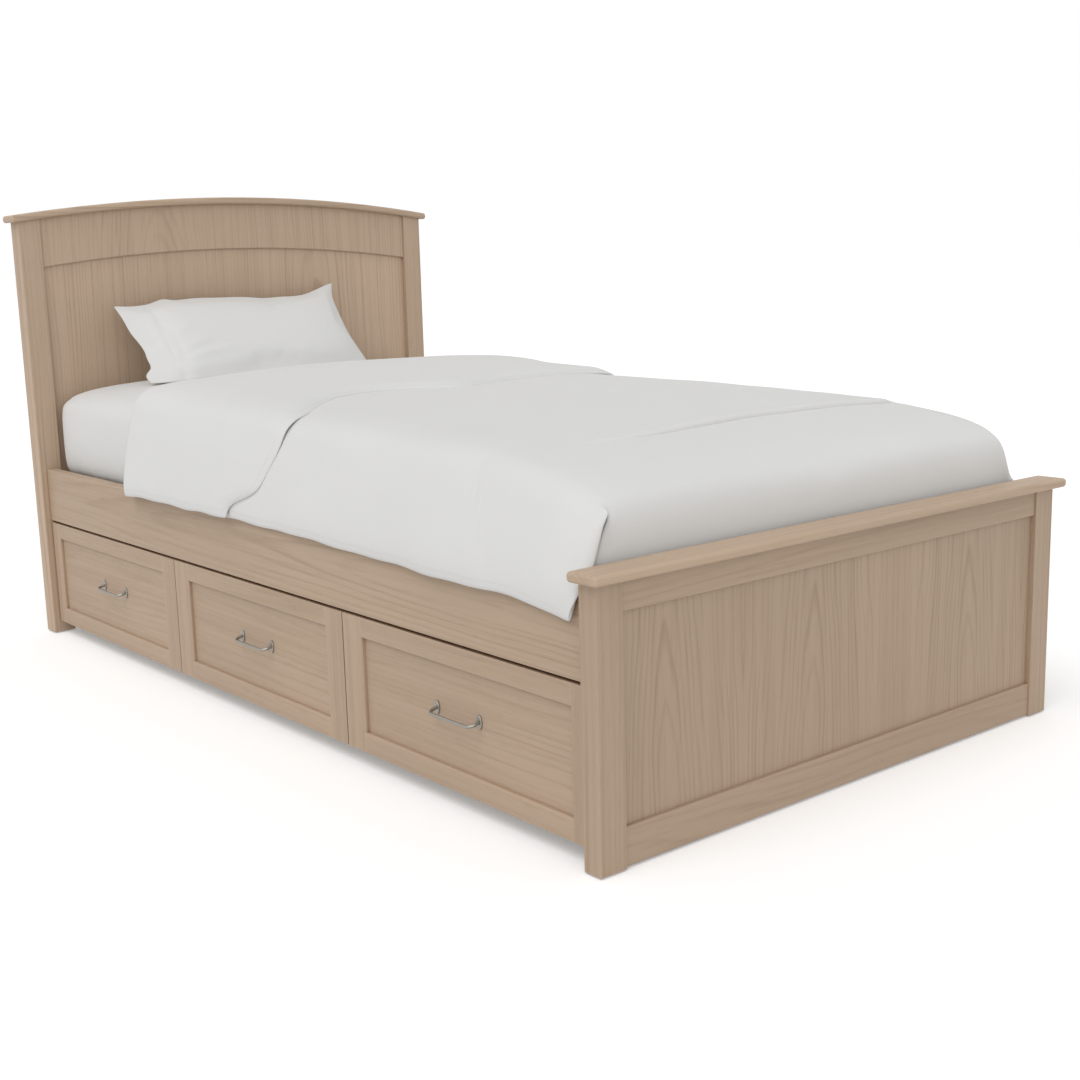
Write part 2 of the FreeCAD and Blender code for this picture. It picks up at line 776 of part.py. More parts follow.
def turnback_edge_tool(flap_y):
    """What lies below the free edge of the turned-back part, which slants down each side of the bed."""
    top_z = mattress_top_z + duvet_top_thickness
    hem_z = rail_top_z - duvet_hem_drop
    hem_y = flap_y + duvet_turnback_slant
    edge_start = vec(-half_width, flap_y, top_z)
    edge_end = vec(-half_width, hem_y, hem_z)
    edge_middle = (edge_start + edge_end) / 2 - vec(0, duvet_turnback_bow, 0)
    corners = [
        edge_end,
        vec(-half_width, hem_y, hem_z - overrun),
        vec(-half_width, flap_y - overrun, hem_z - overrun),
        vec(-half_width, flap_y - overrun, top_z),
        edge_start,
    ]
    edges = [Part.makeLine(a, b) for a, b in zip(corners, corners[1:])]
    outline = Part.Wire(edges + [arc(edge_start, edge_middle, edge_end)])
    return Part.Face(outline).extrude(vec(2 * half_width, 0, 0))


def make_duvet():
    foot_y = foot_inner_y + foot_cap_back_overhang + duvet_foot_play
    drop_back_y = foot_y + duvet_foot_drop_thickness
    wall_sections = [duvet_foot_section(y, mattress_edge_radius) for y in (foot_y, drop_back_y)]
    foot_wall = Part.makeLoft(wall_sections, True, True)

    fold_y = head_inner_y - duvet_head_clear
    flap_y = fold_y - duvet_turnback
    flap_top = duvet_top_thickness + duvet_flap_lift
    flap_side = duvet_side_thickness + duvet_flap_spread
    round_length = flap_top / 2
    sections = [duvet_section(drop_back_y, mattress_edge_radius, duvet_foot_thickness, duvet_side_thickness)]
    for share in rounding_shares:
        distance = share * mattress_corner_radius
        drop = quarter_drop(distance, mattress_edge_radius)
        y = mattress_foot_y + distance
        sections.append(duvet_section(y, drop, duvet_foot_thickness, duvet_side_thickness))
    for y in (mattress_foot_y + duvet_thin_length, fold_y - round_length):
        sections.append(duvet_section(y, 0, duvet_top_thickness, duvet_side_thickness))
    cover = Part.makeLoft(sections, True, True)

    sections = [duvet_section(flap_y, 0, flap_top, flap_side)]
    for share in fold_round_shares:
        lost_share = quarter_drop(share * round_length, round_length) / round_length
        kept_share = 1 - (1 - fold_edge_share) * lost_share
        y = fold_y - share * round_length
        sections.append(duvet_section(y, 0, flap_top * kept_share, flap_side * kept_share))
    turnback = Part.makeLoft(sections, True, True).cut(turnback_edge_tool(flap_y))
    save("duvet", foot_wall.fuse(cover).fuse(turnback).removeSplitter())


def pillow_section(share):
    """Two shallow arcs joined by a narrow seam edge; the pillow stands on its straight front edge."""
    x = share * pillow_width / 2
    front_y = -pillow_length / 2
    back_y = pillow_length / 2 + pillow_corner_gain * (share ** 2 - 1)
    middle_y = (front_y + back_y) / 2
    fullness = math.sqrt(max(1 - abs(share) ** 3, 0))
    edge = pillow_edge / 2
    least = edge + pillow_end_rise
    rise = least + (pillow_thickness / 2 - least) * fullness
    low_front, low_back = vec(x, front_y, -edge), vec(x, back_y, -edge)
    high_front, high_back = vec(x, front_y, edge), vec(x, back_y, edge)
    return Part.Wire([
        arc(low_front, vec(x, middle_y, -rise), low_back),
        Part.makeLine(low_back, high_back),
        arc(high_back, vec(x, middle_y, rise), high_front),
        Part.makeLine(high_front, low_front),
    ])


def make_pillow():
    pillow = Part.makeLoft([pillow_section(share) for share in pillow_station_shares], True, False)
    pillow.Placement = FreeCAD.Placement(vec(0, 0, 0), FreeCAD.Rotation(ALONG_X, pillow_tilt))
    bounds = pillow.optimalBoundingBox(False)
    back_y = head_inner_y + head_board_setback - pillow_head_play
    base_z = mattress_top_z + mattress_crown + pillow_base_play
    pillow.translate(vec(pillow_offset, back_y - bounds.YMax, base_z - bounds.ZMin))
    save("pillow", pillow)


os.makedirs("parts", exist_ok=True)
make_footboard()
make_headboard()
make_sides()
make_slats()
make_partitions()
make_slides()
for drawer in range(drawer_count):
    make_front(drawer)
    make_box(drawer)
    make_pull(drawer)
make_mattress()
make_duvet()
make_pillow()
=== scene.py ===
"""Single storage bed: finishes for the wooden frame, the drawers and their fittings, and the bedding.

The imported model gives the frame; this file adds the made-up bed, the materials, the light and the camera.
Everything is in metres, in the model's own frame: X across the bed, Y towards the headboard, Z up.
"""
import math

import bmesh
import bpy
import numpy as np
from bpy.props import FloatProperty, FloatVectorProperty, IntProperty, PointerProperty
from bpy.types import Operator, Panel, PropertyGroup
from mathutils import Matrix, Vector, noise


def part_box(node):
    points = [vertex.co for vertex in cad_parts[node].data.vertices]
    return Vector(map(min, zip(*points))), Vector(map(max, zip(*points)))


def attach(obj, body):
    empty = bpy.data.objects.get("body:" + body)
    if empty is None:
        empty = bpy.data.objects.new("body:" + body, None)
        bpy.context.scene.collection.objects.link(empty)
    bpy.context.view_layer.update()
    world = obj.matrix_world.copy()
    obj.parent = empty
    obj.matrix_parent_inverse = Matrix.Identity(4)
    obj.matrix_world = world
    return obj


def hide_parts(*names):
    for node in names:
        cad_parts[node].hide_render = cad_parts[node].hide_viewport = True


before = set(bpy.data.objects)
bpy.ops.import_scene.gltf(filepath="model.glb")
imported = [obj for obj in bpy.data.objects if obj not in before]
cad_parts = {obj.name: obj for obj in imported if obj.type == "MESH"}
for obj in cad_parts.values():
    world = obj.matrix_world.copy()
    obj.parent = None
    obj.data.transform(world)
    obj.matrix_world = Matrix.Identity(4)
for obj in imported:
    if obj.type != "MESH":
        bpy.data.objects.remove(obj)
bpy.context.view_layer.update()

bl_info = {
    "name": "Storage bed",
    "version": (1, 0, 0),
    "blender": (4, 5, 0),
    "location": "3D View > Sidebar > Bed",
    "description": "Finishes a single storage bed with three drawers and makes up its bedding",
    "category": "Object",
}

DRAWERS = (1, 2, 3)
MATTRESS_LOW, MATTRESS_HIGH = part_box("mattress")
PILLOW_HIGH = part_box("pillow")[1]
RAIL_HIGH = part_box("side_rail_left")[1]


# ---------------------------------------------------------------- settings

def a_tint(name, description, default):
    """A colour among the settings."""
    return FloatVectorProperty(name=name, description=description, subtype="COLOR", default=default,
                               min=0.0, max=1.0)


def a_number(name, description, default, low, high, **kind):
    """A number among the settings, with its range and its kind."""
    return FloatProperty(name=name, description=description, default=default, min=low, max=high, **kind)


def a_size(name, description, default, low, high):
    """A length among the settings."""
    return a_number(name, description, default, low, high, unit="LENGTH")


def an_angle(name, description, degrees, low=-180.0, high=180.0):
    """An angle among the settings, kept in radians."""
    return a_number(name, description, *map(math.radians, (degrees, low, high)), subtype="ANGLE")


def a_level(name, description, default, high):
    """A strength of light among the settings."""
    return a_number(name, description, default, 0.0, high, subtype="FACTOR")


class BedWoodSettings(PropertyGroup):
    """Colours and figure of the stained wood."""

    face: a_tint("Wood colour", "Stain on the visible boards", (0.456, 0.340, 0.244))
    grain: a_tint("Grain colour", "Darker late wood between the rings", (0.270, 0.180, 0.120))
    # Glaze colour: stain glaze and painted shade together, laid into the inside corners by ambient occlusion.
    glaze_and_shade: a_tint("Glaze colour", "Stain gathered in the inside corners", (0.310, 0.165, 0.080))
    worn: a_tint("Edge colour", "Wood that shows through along the eased edges", (0.560, 0.450, 0.360))
    board: a_tint("Drawer board colour", "Unstained board of the drawer boxes", (0.560, 0.440, 0.300))
    slat: a_tint("Slat colour", "Bare softwood of the slats", (0.620, 0.480, 0.310))
    ring_spacing: a_size("Ring spacing", "Distance between two growth rings", 0.0090, 0.002, 0.05)
    # How far that glaze and painted shade reach out of a corner.
    glaze_and_shade_reach: a_size("Glaze reach", "How far the gathered stain comes out of a corner", 0.009, 0.001, 0.05)
    edge_width: a_size("Worn edge", "Width of the worn strip along an edge", 0.0022, 0.0005, 0.01)


class BedMetalSettings(PropertyGroup):
    """Colours of the metal and plastic fittings."""

    nickel: a_tint("Nickel colour", "Satin nickel of the drawer pulls", (0.345, 0.330, 0.298))
    steel: a_tint("Steel colour", "Zinc-plated steel of the slides and screws", (0.560, 0.570, 0.580))
    plastic: a_tint("Glide colour", "Moulded plastic of the floor glides", (0.060, 0.055, 0.050))


class BedBeddingSettings(PropertyGroup):
    """Sizes and colours of the mattress, the duvet and the pillow."""

    cotton: a_tint("Cotton colour", "Cotton of the duvet cover and the pillow case", (0.700, 0.697, 0.684))
    sheet: a_tint("Sheet colour", "Fitted sheet over the mattress", (0.700, 0.697, 0.684))
    weave: a_size("Weave pitch", "Distance between two threads", 0.0009, 0.0002, 0.01)
    duvet_thickness: a_size("Duvet thickness", "One layer of the duvet before it swells", 0.0085, 0.002, 0.05)
    fold_lift: a_size("Fold lift", "Height of the turned layer over the cover at the fold", 0.0250, 0.01, 0.08)
    edge_lift: a_size("Edge lift", "Height of that layer over the cover at its free edge", 0.0130, 0.01, 0.08)
    fold_loft: a_size("Fold loft", "How much the filling lifts the middle of the fold", 0.0130, 0.0, 0.05)
    duvet_swell: a_size("Duvet swell", "Furthest that the filling may push the cover", 0.0035, 0.0, 0.02)
    pillow_thickness: a_size("Pillow thickness", "Thickness of the pillow at its middle", 0.130, 0.05, 0.3)
    pillow_tilt: an_angle("Pillow tilt", "How far the pillow leans up against the headboard", 48.0, 0.0, 80.0)
    hem_band: a_size("Hem band", "Width of the hemmed end of the pillow case", 0.082, 0.02, 0.15)
    stitch_pitch: a_size("Stitch pitch", "Distance between two stitches of a hem", 0.0048, 0.002, 0.02)
    stitch_length: a_size("Stitch length", "Length of thread that shows in one stitch", 0.0034, 0.001, 0.02)
    thread_radius: a_size("Thread radius", "Radius of the sewing thread", 0.00055, 0.0001, 0.002)
    filling_frames: IntProperty(name="Filling steps", description="Steps of simulation that fill each cushion",
                                default=20, min=4, max=60)


class BedStageSettings(PropertyGroup):
    """Camera and light."""

    lens: a_number("Lens", "Focal length on a sensor 36 mm wide", 49.52, 10.0, 200.0,
                   subtype="DISTANCE_CAMERA")
    camera_place: FloatVectorProperty(
        name="Camera place", description="Where the camera stands", unit="LENGTH", subtype="TRANSLATION",
        default=(-1.8623, -2.4727, 0.8721))
    camera_yaw: an_angle("Camera yaw", "Turn of the view from the bed's length to its right side", 39.3837)
    camera_pitch: an_angle("Camera pitch", "How far the camera looks down", 10.9592)
    camera_roll: an_angle("Camera roll", "Tilt of the camera about its own line of sight", 1.5602)
    sky_level: a_level("Sky level", "Even light from all round", 0.62, 2.0)
    sun_level: a_level("Sun level", "Soft light from above and from the drawers' side", 0.94, 5.0)
    fill_level: a_level("Fill level", "Very soft light from in front", 0.55, 5.0)
    sun_spread: an_angle("Sun spread", "Apparent size of the soft light", 40.0, 0.0, 120.0)
    floor_size: a_size("Floor size", "Half the side of the floor", 40.0, 2.0, 200.0)


# ---------------------------------------------------------------- node helpers

def fill_sockets(tree, node, sockets):
    """Fill or link a node's inputs by name or number."""
    for name, value in sockets.items():
        if isinstance(value, bpy.types.NodeSocket):
            tree.links.new(value, node.inputs[name])
        else:
            node.inputs[name].default_value = value


def add_node(tree, kind, sockets=None, **settings):
    """Add a node, set its own settings, then fill its inputs."""
    node = tree.nodes.new(kind)
    for name, value in settings.items():
        setattr(node, name, value)
    fill_sockets(tree, node, sockets or {})
    return node


def calc(tree, operation, *values, clamp=False):
    """One math node on sockets or numbers."""
    node = add_node(tree, "ShaderNodeMath", dict(enumerate(values)), operation=operation, use_clamp=clamp)
    return node.outputs[0]


def vector_calc(tree, operation, sockets):
    """One vector math node on sockets or vectors."""
    return add_node(tree, "ShaderNodeVectorMath", sockets, operation=operation).outputs["Vector"]


def ranged(tree, value, low, high, to_low=0.0, to_high=1.0):
    """A smooth step of a value from one range to another."""
    sockets = {"Value": value, "From Min": low, "From Max": high, "To Min": to_low, "To Max": to_high}
    return add_node(tree, "ShaderNodeMapRange", sockets, interpolation_type="SMOOTHSTEP").outputs[0]


def colour_mix(tree, share, *colours):
    """Mix of two colours, each a socket or a colour."""
    ends = [end if isinstance(end, bpy.types.NodeSocket) else (*end, 1.0) for end in colours]
    return add_node(tree, "ShaderNodeMix", {0: share, 6: ends[0], 7: ends[1]}, data_type="RGBA").outputs[2]


def cloudy(tree, place, stretch, detail=2.0, roughness=0.5):
    """Noise read at a place that is stretched along each axis."""
    stretched = vector_calc(tree, "MULTIPLY", {0: place, 1: stretch})
    sockets = {"Vector": stretched, "Scale": 1.0, "Detail": detail, "Roughness": roughness}
    return add_node(tree, "ShaderNodeTexNoise", sockets).outputs["Fac"]


def bumped(tree, height, strength, distance, **under):
    """Normals of a surface with fine relief, over another relief where one is given."""
    sockets = {"Height": height, "Strength": strength, "Distance": distance, **under}
    return add_node(tree, "ShaderNodeBump", sockets).outputs[0]


def shade(colour, factor):
    """A colour made lighter or darker."""
    return tuple(min(1.0, part * factor) for part in colour)


def patchy(tree, share, colour, tones):
    """A colour that varies between a darker and a lighter tone."""
    return colour_mix(tree, share, shade(colour, tones[0]), shade(colour, tones[1]))


def new_material(name):
    """An empty node material with its surface shader."""
    material = bpy.data.materials.new(name)
    material.use_nodes = True
    tree = material.node_tree
    tree.nodes.clear()
    shader = add_node(tree, "ShaderNodeBsdfPrincipled")
    add_node(tree, "ShaderNodeOutputMaterial", {"Surface": shader.outputs[0]})
    return material, tree, shader


def dress_node(name, material):
    """Give a part of the frame its finish."""
    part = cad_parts[name]
    if not part.material_slots:
        part.data.materials.append(material)
    for slot in part.material_slots:
        slot.material = material


# ---------------------------------------------------------------- wood

GRAIN_RUNS = {  # axis numbers across the grain, into the board and along the grain
    "upright": (0, 1, 2),
    "upright_side": (1, 0, 2),
    "lengthwise": (2, 0, 1),
    "crosswise": (2, 1, 0),
    "crosswise_flat": (1, 2, 0),
}
STAINED_PIECES = (  # piece, run of the grain, heart of the log across, behind the face, and its lean
    ("head_post_left", "upright", 0.095, 0.040, 0.006),
    ("head_post_right", "upright", -0.120, 0.050, -0.008),
    ("head_arch_rail", "upright", -0.210, 0.085, 0.160),
    ("head_panel", "upright", 0.230, 0.070, 0.055),
    ("head_bottom_rail", "crosswise", 0.030, 0.110, 0.012),
    ("head_cap", "crosswise_flat", 0.050, 0.090, 0.010),
    ("foot_post_left", "upright", 0.080, 0.060, 0.012),
    ("foot_post_right", "upright", -0.090, 0.045, -0.010),
    ("foot_top_rail", "crosswise", 0.045, 0.080, 0.028),
    ("foot_bottom_rail", "crosswise", -0.030, 0.070, 0.034),
    ("foot_cap", "crosswise_flat", 0.030, 0.080, 0.020),
    ("foot_panel", "upright", 0.155, 0.046, 0.074),
    ("side_rail_left", "lengthwise", 0.020, 0.055, 0.030),
    ("side_rail_right", "lengthwise", -0.020, -0.060, 0.026),
    ("side_skirt_right", "lengthwise", 0.045, -0.080, 0.030),
    ("rail_tongues", "lengthwise", 0.050, 0.060, 0.010),
)
DRAWER_WOOD = (  # the same for each drawer's front
    ("front_panel", "lengthwise", 0.130, 0.050, 0.020),
    ("front_rails", "lengthwise", 0.150, 0.060, 0.012),
    ("front_stiles", "upright_side", 0.330, 0.050, 0.010),
)
DRAWER_STEP = (0.022, 0.013)  # how far the heart moves from drawer to drawer, across and behind
BOARD_HEART = (0.030, 0.060, 0.020)  # heart of the first inner board
BOARD_STEP = (0.017, 0.009)  # how far it moves from board to board
BOARD_GRAIN = 0.55  # how dark the grain of an inner board is
# Painted light: the head pieces are lighter against the shade of the bedding, the caps lighter for their lit
# tops, the foot darker for the shade on its front.
PAINTED_LIGHT_TONES = (  # painted light and shade in the tone of a piece, by how its name starts
    ("head_cap", 1.05), ("head_panel", 1.17), ("head_", 1.10), ("foot_cap", 1.08), ("foot_", 0.945),
    ("", 0.99))
RING_DEPTHS = (  # how dark its rings are, likewise
    ("drawer_", 0.26), ("side_", 0.40), ("foot_panel", 0.46), ("head_", 0.44), ("", 0.32))
VENEER_LEAVES = {"foot_panel": (0.370, 0.255)}  # width of each mirrored leaf, and how far the first is shifted
WOOD_WANDER, VENEER_WANDER = 0.030, 0.070  # how far the rings wander
FIGURE_NOISE = {  # waves in a metre across and along the grain, then detail and roughness
    "drift": (3.2, 1.2, 1.0, 0.5),
    "ripple": (11.0, 4.2, 1.0, 0.5),
    "uneven": (14.0, 0.9, 2.0, 0.5),
    "faded": (7.0, 1.6, 2.0, 0.5),
    "bands": (60.0, 0.9, 2.0, 0.5),
    "lines": (190.0, 3.0, 3.0, 0.6),
    "pores": (900.0, 22.0, 1.0, 0.5),
    "tone": (2.6, 0.9, 2.0, 0.5),
}
RIPPLE_SHARE, BEHIND_SHARE = 0.3, 0.6  # of the drift, and of the whole wander towards the heart
UNEVEN_RINGS = 3.6  # how many rings the spacing may gain or lose
YEAR_CONTRAST = 0.8  # how much the years differ
# Ranges: low and high of a value, then of what it becomes where that isn't 0 and 1
LATE_RISE, LATE_FALL = (0.42, 0.84), (0.86, 1.0, 1.0, 0.0)  # late wood within one ring
FADED_RANGE, TONE_RANGE = (0.30, 0.66, 0.25, 1.0), (0.25, 0.75)
STREAK_RANGE, PORE_RANGE = (0.38, 0.68), (0.56, 0.74)
# The worn range picks the eased edges; the glaze range picks the inside corners by ambient occlusion, for
# glaze and painted shade.
WORN_RANGE, GLAZE_AND_SHADE_RANGE = (0.99, 0.80, 0.0, 0.55), (0.72, 0.20, 0.0, 0.75)
STREAK_SHARES = (0.55, 0.5)  # of the bands and the lines
STREAK_DEPTH, STREAK_BASE, PORE_DEPTH = 0.20, -0.08, 0.16  # how much they darken the wood
WOOD_TONES = (0.95, 1.05)  # its darkest and lightest patch
WOOD_ROUGHNESS = (0.50, 0.12, 0.10)  # of plain wood, and what pores and streaks add
RING_RELIEF, PORE_RELIEF, WOOD_BUMP = -0.35, -1.0, (0.22, 0.0005)  # shares, then strength and depth
WOOD_SHINE = 0.35


def by_start(name, table):
    """The value of the first row that a name starts with."""
    return next(value for start, value in table if name.startswith(start))


def wood_figure_group():
    """Growth rings of a leaning log, cut by the board, with streaks and pores along the grain."""
    group = bpy.data.node_groups.new("wood_figure", "ShaderNodeTree")
    group.interface.new_socket("Place", in_out="INPUT", socket_type="NodeSocketVector")
    for name in ("Heart across", "Heart behind", "Lean", "Ring spacing", "Wander"):
        group.interface.new_socket(name, in_out="INPUT", socket_type="NodeSocketFloat")
    for name in ("Rings", "Streaks", "Pores", "Tone"):
        group.interface.new_socket(name, in_out="OUTPUT", socket_type="NodeSocketFloat")
    given = add_node(group, "NodeGroupInput").outputs
    place = given["Place"]
    parts = add_node(group, "ShaderNodeSeparateXYZ", {0: place}).outputs

    def solve(operation, *values):
        return calc(group, operation, *values)

    def grained(key):
        across, along, detail, roughness = FIGURE_NOISE[key]
        return cloudy(group, place, (across, across, along), detail, roughness)

    drift, ripple = (solve("SUBTRACT", grained(key), 0.5) for key in ("drift", "ripple"))
    wander = solve("MULTIPLY", solve("MULTIPLY_ADD", ripple, RIPPLE_SHARE, drift), given["Wander"])
    across = solve("ADD", solve("SUBTRACT", parts[0], given["Heart across"]), wander)
    behind = solve("MULTIPLY_ADD", parts[2], given["Lean"], solve("ADD", parts[1], given["Heart behind"]))
    behind = solve("ADD", behind, solve("MULTIPLY", wander, BEHIND_SHARE))
    squares = solve("MULTIPLY_ADD", across, across, solve("MULTIPLY", behind, behind))
    count = solve("DIVIDE", solve("SQRT", squares), given["Ring spacing"])
    count = solve("MULTIPLY_ADD", grained("uneven"), UNEVEN_RINGS, count)
    ring = solve("FRACT", count)
    late = solve("MULTIPLY", ranged(group, ring, *LATE_RISE), ranged(group, ring, *LATE_FALL))
    year = add_node(group, "ShaderNodeTexWhiteNoise", {"W": solve("FLOOR", count)}, noise_dimensions="1D")
    strong = solve("POWER", year.outputs["Value"], YEAR_CONTRAST)
    faded = ranged(group, grained("faded"), *FADED_RANGE)
    streaks = solve("MULTIPLY_ADD", grained("bands"), STREAK_SHARES[0],
                    solve("MULTIPLY", grained("lines"), STREAK_SHARES[1]))
    add_node(group, "NodeGroupOutput", {
        "Rings": solve("MULTIPLY", solve("MULTIPLY", late, strong), faded),
        "Streaks": ranged(group, streaks, *STREAK_RANGE),
        "Pores": ranged(group, grained("pores"), *PORE_RANGE),
        "Tone": ranged(group, grained("tone"), *TONE_RANGE)})
    return group


def wood_material(name, part, run, heart, figure, face, grain, look, aged_and_shaded=True):
    """Finish of one wooden piece, its figure centred on the piece and turned along its grain."""
    material, tree, shader = new_material(name)
    low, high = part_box(part)
    place = add_node(tree, "ShaderNodeTexCoord").outputs["Object"]
    centred = vector_calc(tree, "SUBTRACT", {0: place, 1: (low + high) / 2})
    parts = add_node(tree, "ShaderNodeSeparateXYZ", {0: centred}).outputs
    across, into, along = (parts[axis] for axis in GRAIN_RUNS[run])
    wander = WOOD_WANDER
    if part in VENEER_LEAVES:
        wander = VENEER_WANDER
        leaf, shift = VENEER_LEAVES[part]
        across = calc(tree, "PINGPONG", calc(tree, "ADD", across, shift), leaf)
    turned = add_node(tree, "ShaderNodeCombineXYZ", {0: across, 1: into, 2: along}).outputs[0]
    cut = add_node(tree, "ShaderNodeGroup", {
        "Place": turned, "Heart across": heart[0], "Heart behind": heart[1], "Lean": heart[2],
        "Ring spacing": look.ring_spacing, "Wander": wander}, node_tree=figure).outputs
    rings, streaks, pores = cut["Rings"], cut["Streaks"], cut["Pores"]
    dark = calc(tree, "MULTIPLY_ADD", rings, by_start(part, RING_DEPTHS),
                calc(tree, "MULTIPLY_ADD", streaks, STREAK_DEPTH, STREAK_BASE))
    dark = calc(tree, "MULTIPLY_ADD", pores, PORE_DEPTH, dark, clamp=True)
    colour = colour_mix(tree, dark, patchy(tree, cut["Tone"], face, WOOD_TONES), grain)
    # Aged pieces get worn edges, and glaze with painted shade in their inside corners.
    if aged_and_shaded:
        flat = add_node(tree, "ShaderNodeNewGeometry").outputs["Normal"]
        eased = add_node(tree, "ShaderNodeBevel", {"Radius": look.edge_width}, samples=4).outputs[0]
        facing = add_node(tree, "ShaderNodeVectorMath", {0: flat, 1: eased}, operation="DOT_PRODUCT")
        colour = colour_mix(tree, ranged(tree, facing.outputs["Value"], *WORN_RANGE), colour, look.worn)
        # Painted shade: ambient occlusion darkens the inside corners towards the glaze colour.
        open_air = add_node(tree, "ShaderNodeAmbientOcclusion", {"Distance": look.glaze_and_shade_reach}, samples=6)
        colour = colour_mix(tree, ranged(tree, open_air.outputs["AO"], *GLAZE_AND_SHADE_RANGE), colour, look.glaze_and_shade)
    plain, porous, streaked = WOOD_ROUGHNESS
    rough = calc(tree, "MULTIPLY_ADD", streaks, streaked, calc(tree, "MULTIPLY_ADD", pores, porous, plain))
    height = calc(tree, "MULTIPLY_ADD", rings, RING_RELIEF, calc(tree, "MULTIPLY", pores, PORE_RELIEF))
    fill_sockets(tree, shader, {"Base Color": colour, "Roughness": rough, "Specular IOR Level": WOOD_SHINE,
                                "Normal": bumped(tree, height, *WOOD_BUMP)})
    return material


class BED_OT_wood(Operator):
    """Stain the posts, rails, panels, caps and drawer fronts, with painted light in their tones and painted
    shade in their corners
    """

    bl_idname = "bed.wood"
    bl_label = "Stain the wood"

    def execute(self, context):
        look = context.scene.bed_wood
        figure = wood_figure_group()
        rows = [(piece, run, heart, by_start(piece, PAINTED_LIGHT_TONES)) for piece, run, *heart in STAINED_PIECES]
        for number in DRAWERS:
            aside, further = (step * number for step in DRAWER_STEP)
            for piece, run, across, behind, lean in DRAWER_WOOD:
                heart = (across - aside, behind + further, lean * (-1) ** number)
                rows.append((f"drawer_{number}_{piece}", run, heart, 1.0))
        # Each piece's tone lightens or darkens its stain as painted light and shade.
        for piece, run, heart, tone in rows:
            face = shade(look.face, tone)
            made = wood_material(piece + "_stain_and_painted_light", piece, run, heart, figure, face, look.grain, look)
            dress_node(piece, made)
        return {"FINISHED"}


class BED_OT_boards(Operator):
    """Finish the drawer boxes, the partitions, the ledgers and the slats in bare wood"""

    bl_idname = "bed.boards"
    bl_label = "Finish the inner boards"

    def execute(self, context):
        look = context.scene.bed_wood
        figure = bpy.data.node_groups["wood_figure"]
        pieces = [("case_partitions", "crosswise", look.board), ("slats", "crosswise_flat", look.slat),
                  ("slat_ledgers", "lengthwise", look.slat)]
        for number in DRAWERS:
            for piece, run in (("sides", "crosswise"), ("ends", "lengthwise"), ("bottom", "crosswise_flat")):
                pieces.append((f"drawer_{number}_box_{piece}", run, look.board))
        for order, (piece, run, colour) in enumerate(pieces):
            across, behind, lean = BOARD_HEART
            heart = (across + BOARD_STEP[0] * order, behind + BOARD_STEP[1] * order, lean)
            grain = shade(colour, BOARD_GRAIN)
            made = wood_material(piece + "_bare", piece, run, heart, figure, colour, grain, look, aged_and_shaded=False)
            dress_node(piece, made)
        return {"FINISHED"}


# ---------------------------------------------------------------- metal and plastic

# Fine lines in a metre along each axis, patches in a metre, their darkest and lightest tone, the roughness
# always, by patches and by lines, the strength of the lines' relief, and 1 for a metal
FITTING_FINISHES = {
    "satin_nickel": ((900.0, 40.0, 900.0), 60.0, (0.88, 1.08), (0.28, 0.10, 0.14), 0.10, 1.0),
    "zinc_plated_steel": ((40.0, 900.0, 900.0), 60.0, (0.88, 1.08), (0.26, 0.10, 0.14), 0.10, 1.0),
    "glide_plastic_grained": ((1400.0, 1400.0, 1400.0), 90.0, (0.85, 1.25), (0.42, 0.20, 0.0), 0.15, 0.0),
}
FITTING_RELIEF = 0.0002  # depth of the lines


def fitting_material(name, colour):
    """Brushed metal or moulded plastic: fine lines or grain, and uneven gloss."""
    spacing, patch, tones, (always, patched, lined), relief, metallic = FITTING_FINISHES[name]
    material, tree, shader = new_material(name)
    place = add_node(tree, "ShaderNodeTexCoord").outputs["Object"]
    lines = cloudy(tree, place, spacing)
    patches = cloudy(tree, place, (patch, patch, patch), 3.0)
    rough = calc(tree, "MULTIPLY_ADD", patches, patched, always)
    fill_sockets(tree, shader, {
        "Base Color": patchy(tree, patches, colour, tones), "Metallic": metallic,
        "Roughness": calc(tree, "MULTIPLY_ADD", lines, lined, rough),
        "Normal": bumped(tree, lines, relief, FITTING_RELIEF)})
    return material


class BED_OT_fittings(Operator):
    """Finish the drawer pulls, the slides, the screws, the pins and the floor glides"""

    bl_idname = "bed.fittings"
    bl_label = "Finish the fittings"

    def execute(self, context):
        look = context.scene.bed_metal
        nickel = fitting_material("satin_nickel", look.nickel)
        steel = fitting_material("zinc_plated_steel", look.steel)
        for number in DRAWERS:
            for piece in ("pull_bar", "pull_plates", "pull_screws"):
                dress_node(f"drawer_{number}_{piece}", nickel)
            for piece in ("slide_inner", "slide_middle"):
                dress_node(f"drawer_{number}_{piece}", steel)
        for piece in ("slide_outer", "slat_screws", "rail_pins"):
            dress_node(piece, steel)
        dress_node("floor_glides", fitting_material("glide_plastic_grained", look.plastic))
        return {"FINISHED"}


# ---------------------------------------------------------------- soft shapes

YARN_FINE, YARN_LONG = 1100.0, 45.0  # waves in a metre across and along an uneven yarn
YARN_DEPTH, RUMPLE_DEPTH = 0.35, 0.4  # their shares of the colour's unevenness
RUMPLES, RUMPLE_BUMP = (9.0, 7.0, 9.0), (0.30, 0.006)  # waves in a metre, then strength and depth
COTTON_TONES, COTTON_ROUGHNESS = (0.955, 1.03), (0.12, 0.74)
WEAVE_BUMP, YARN_RELIEF = (0.10, 0.0002), 2.0
COTTON_SHINE = {"Specular IOR Level": 0.25, "Sheen Weight": 0.12, "Sheen Roughness": 0.55}
CLOTH_BENDING, CLOTH_QUALITY = 0.4, 5
FINE_STEPS = 40  # steps to each point of a line while it is divided
LEAST = 1e-9  # keeps a length from being nothing


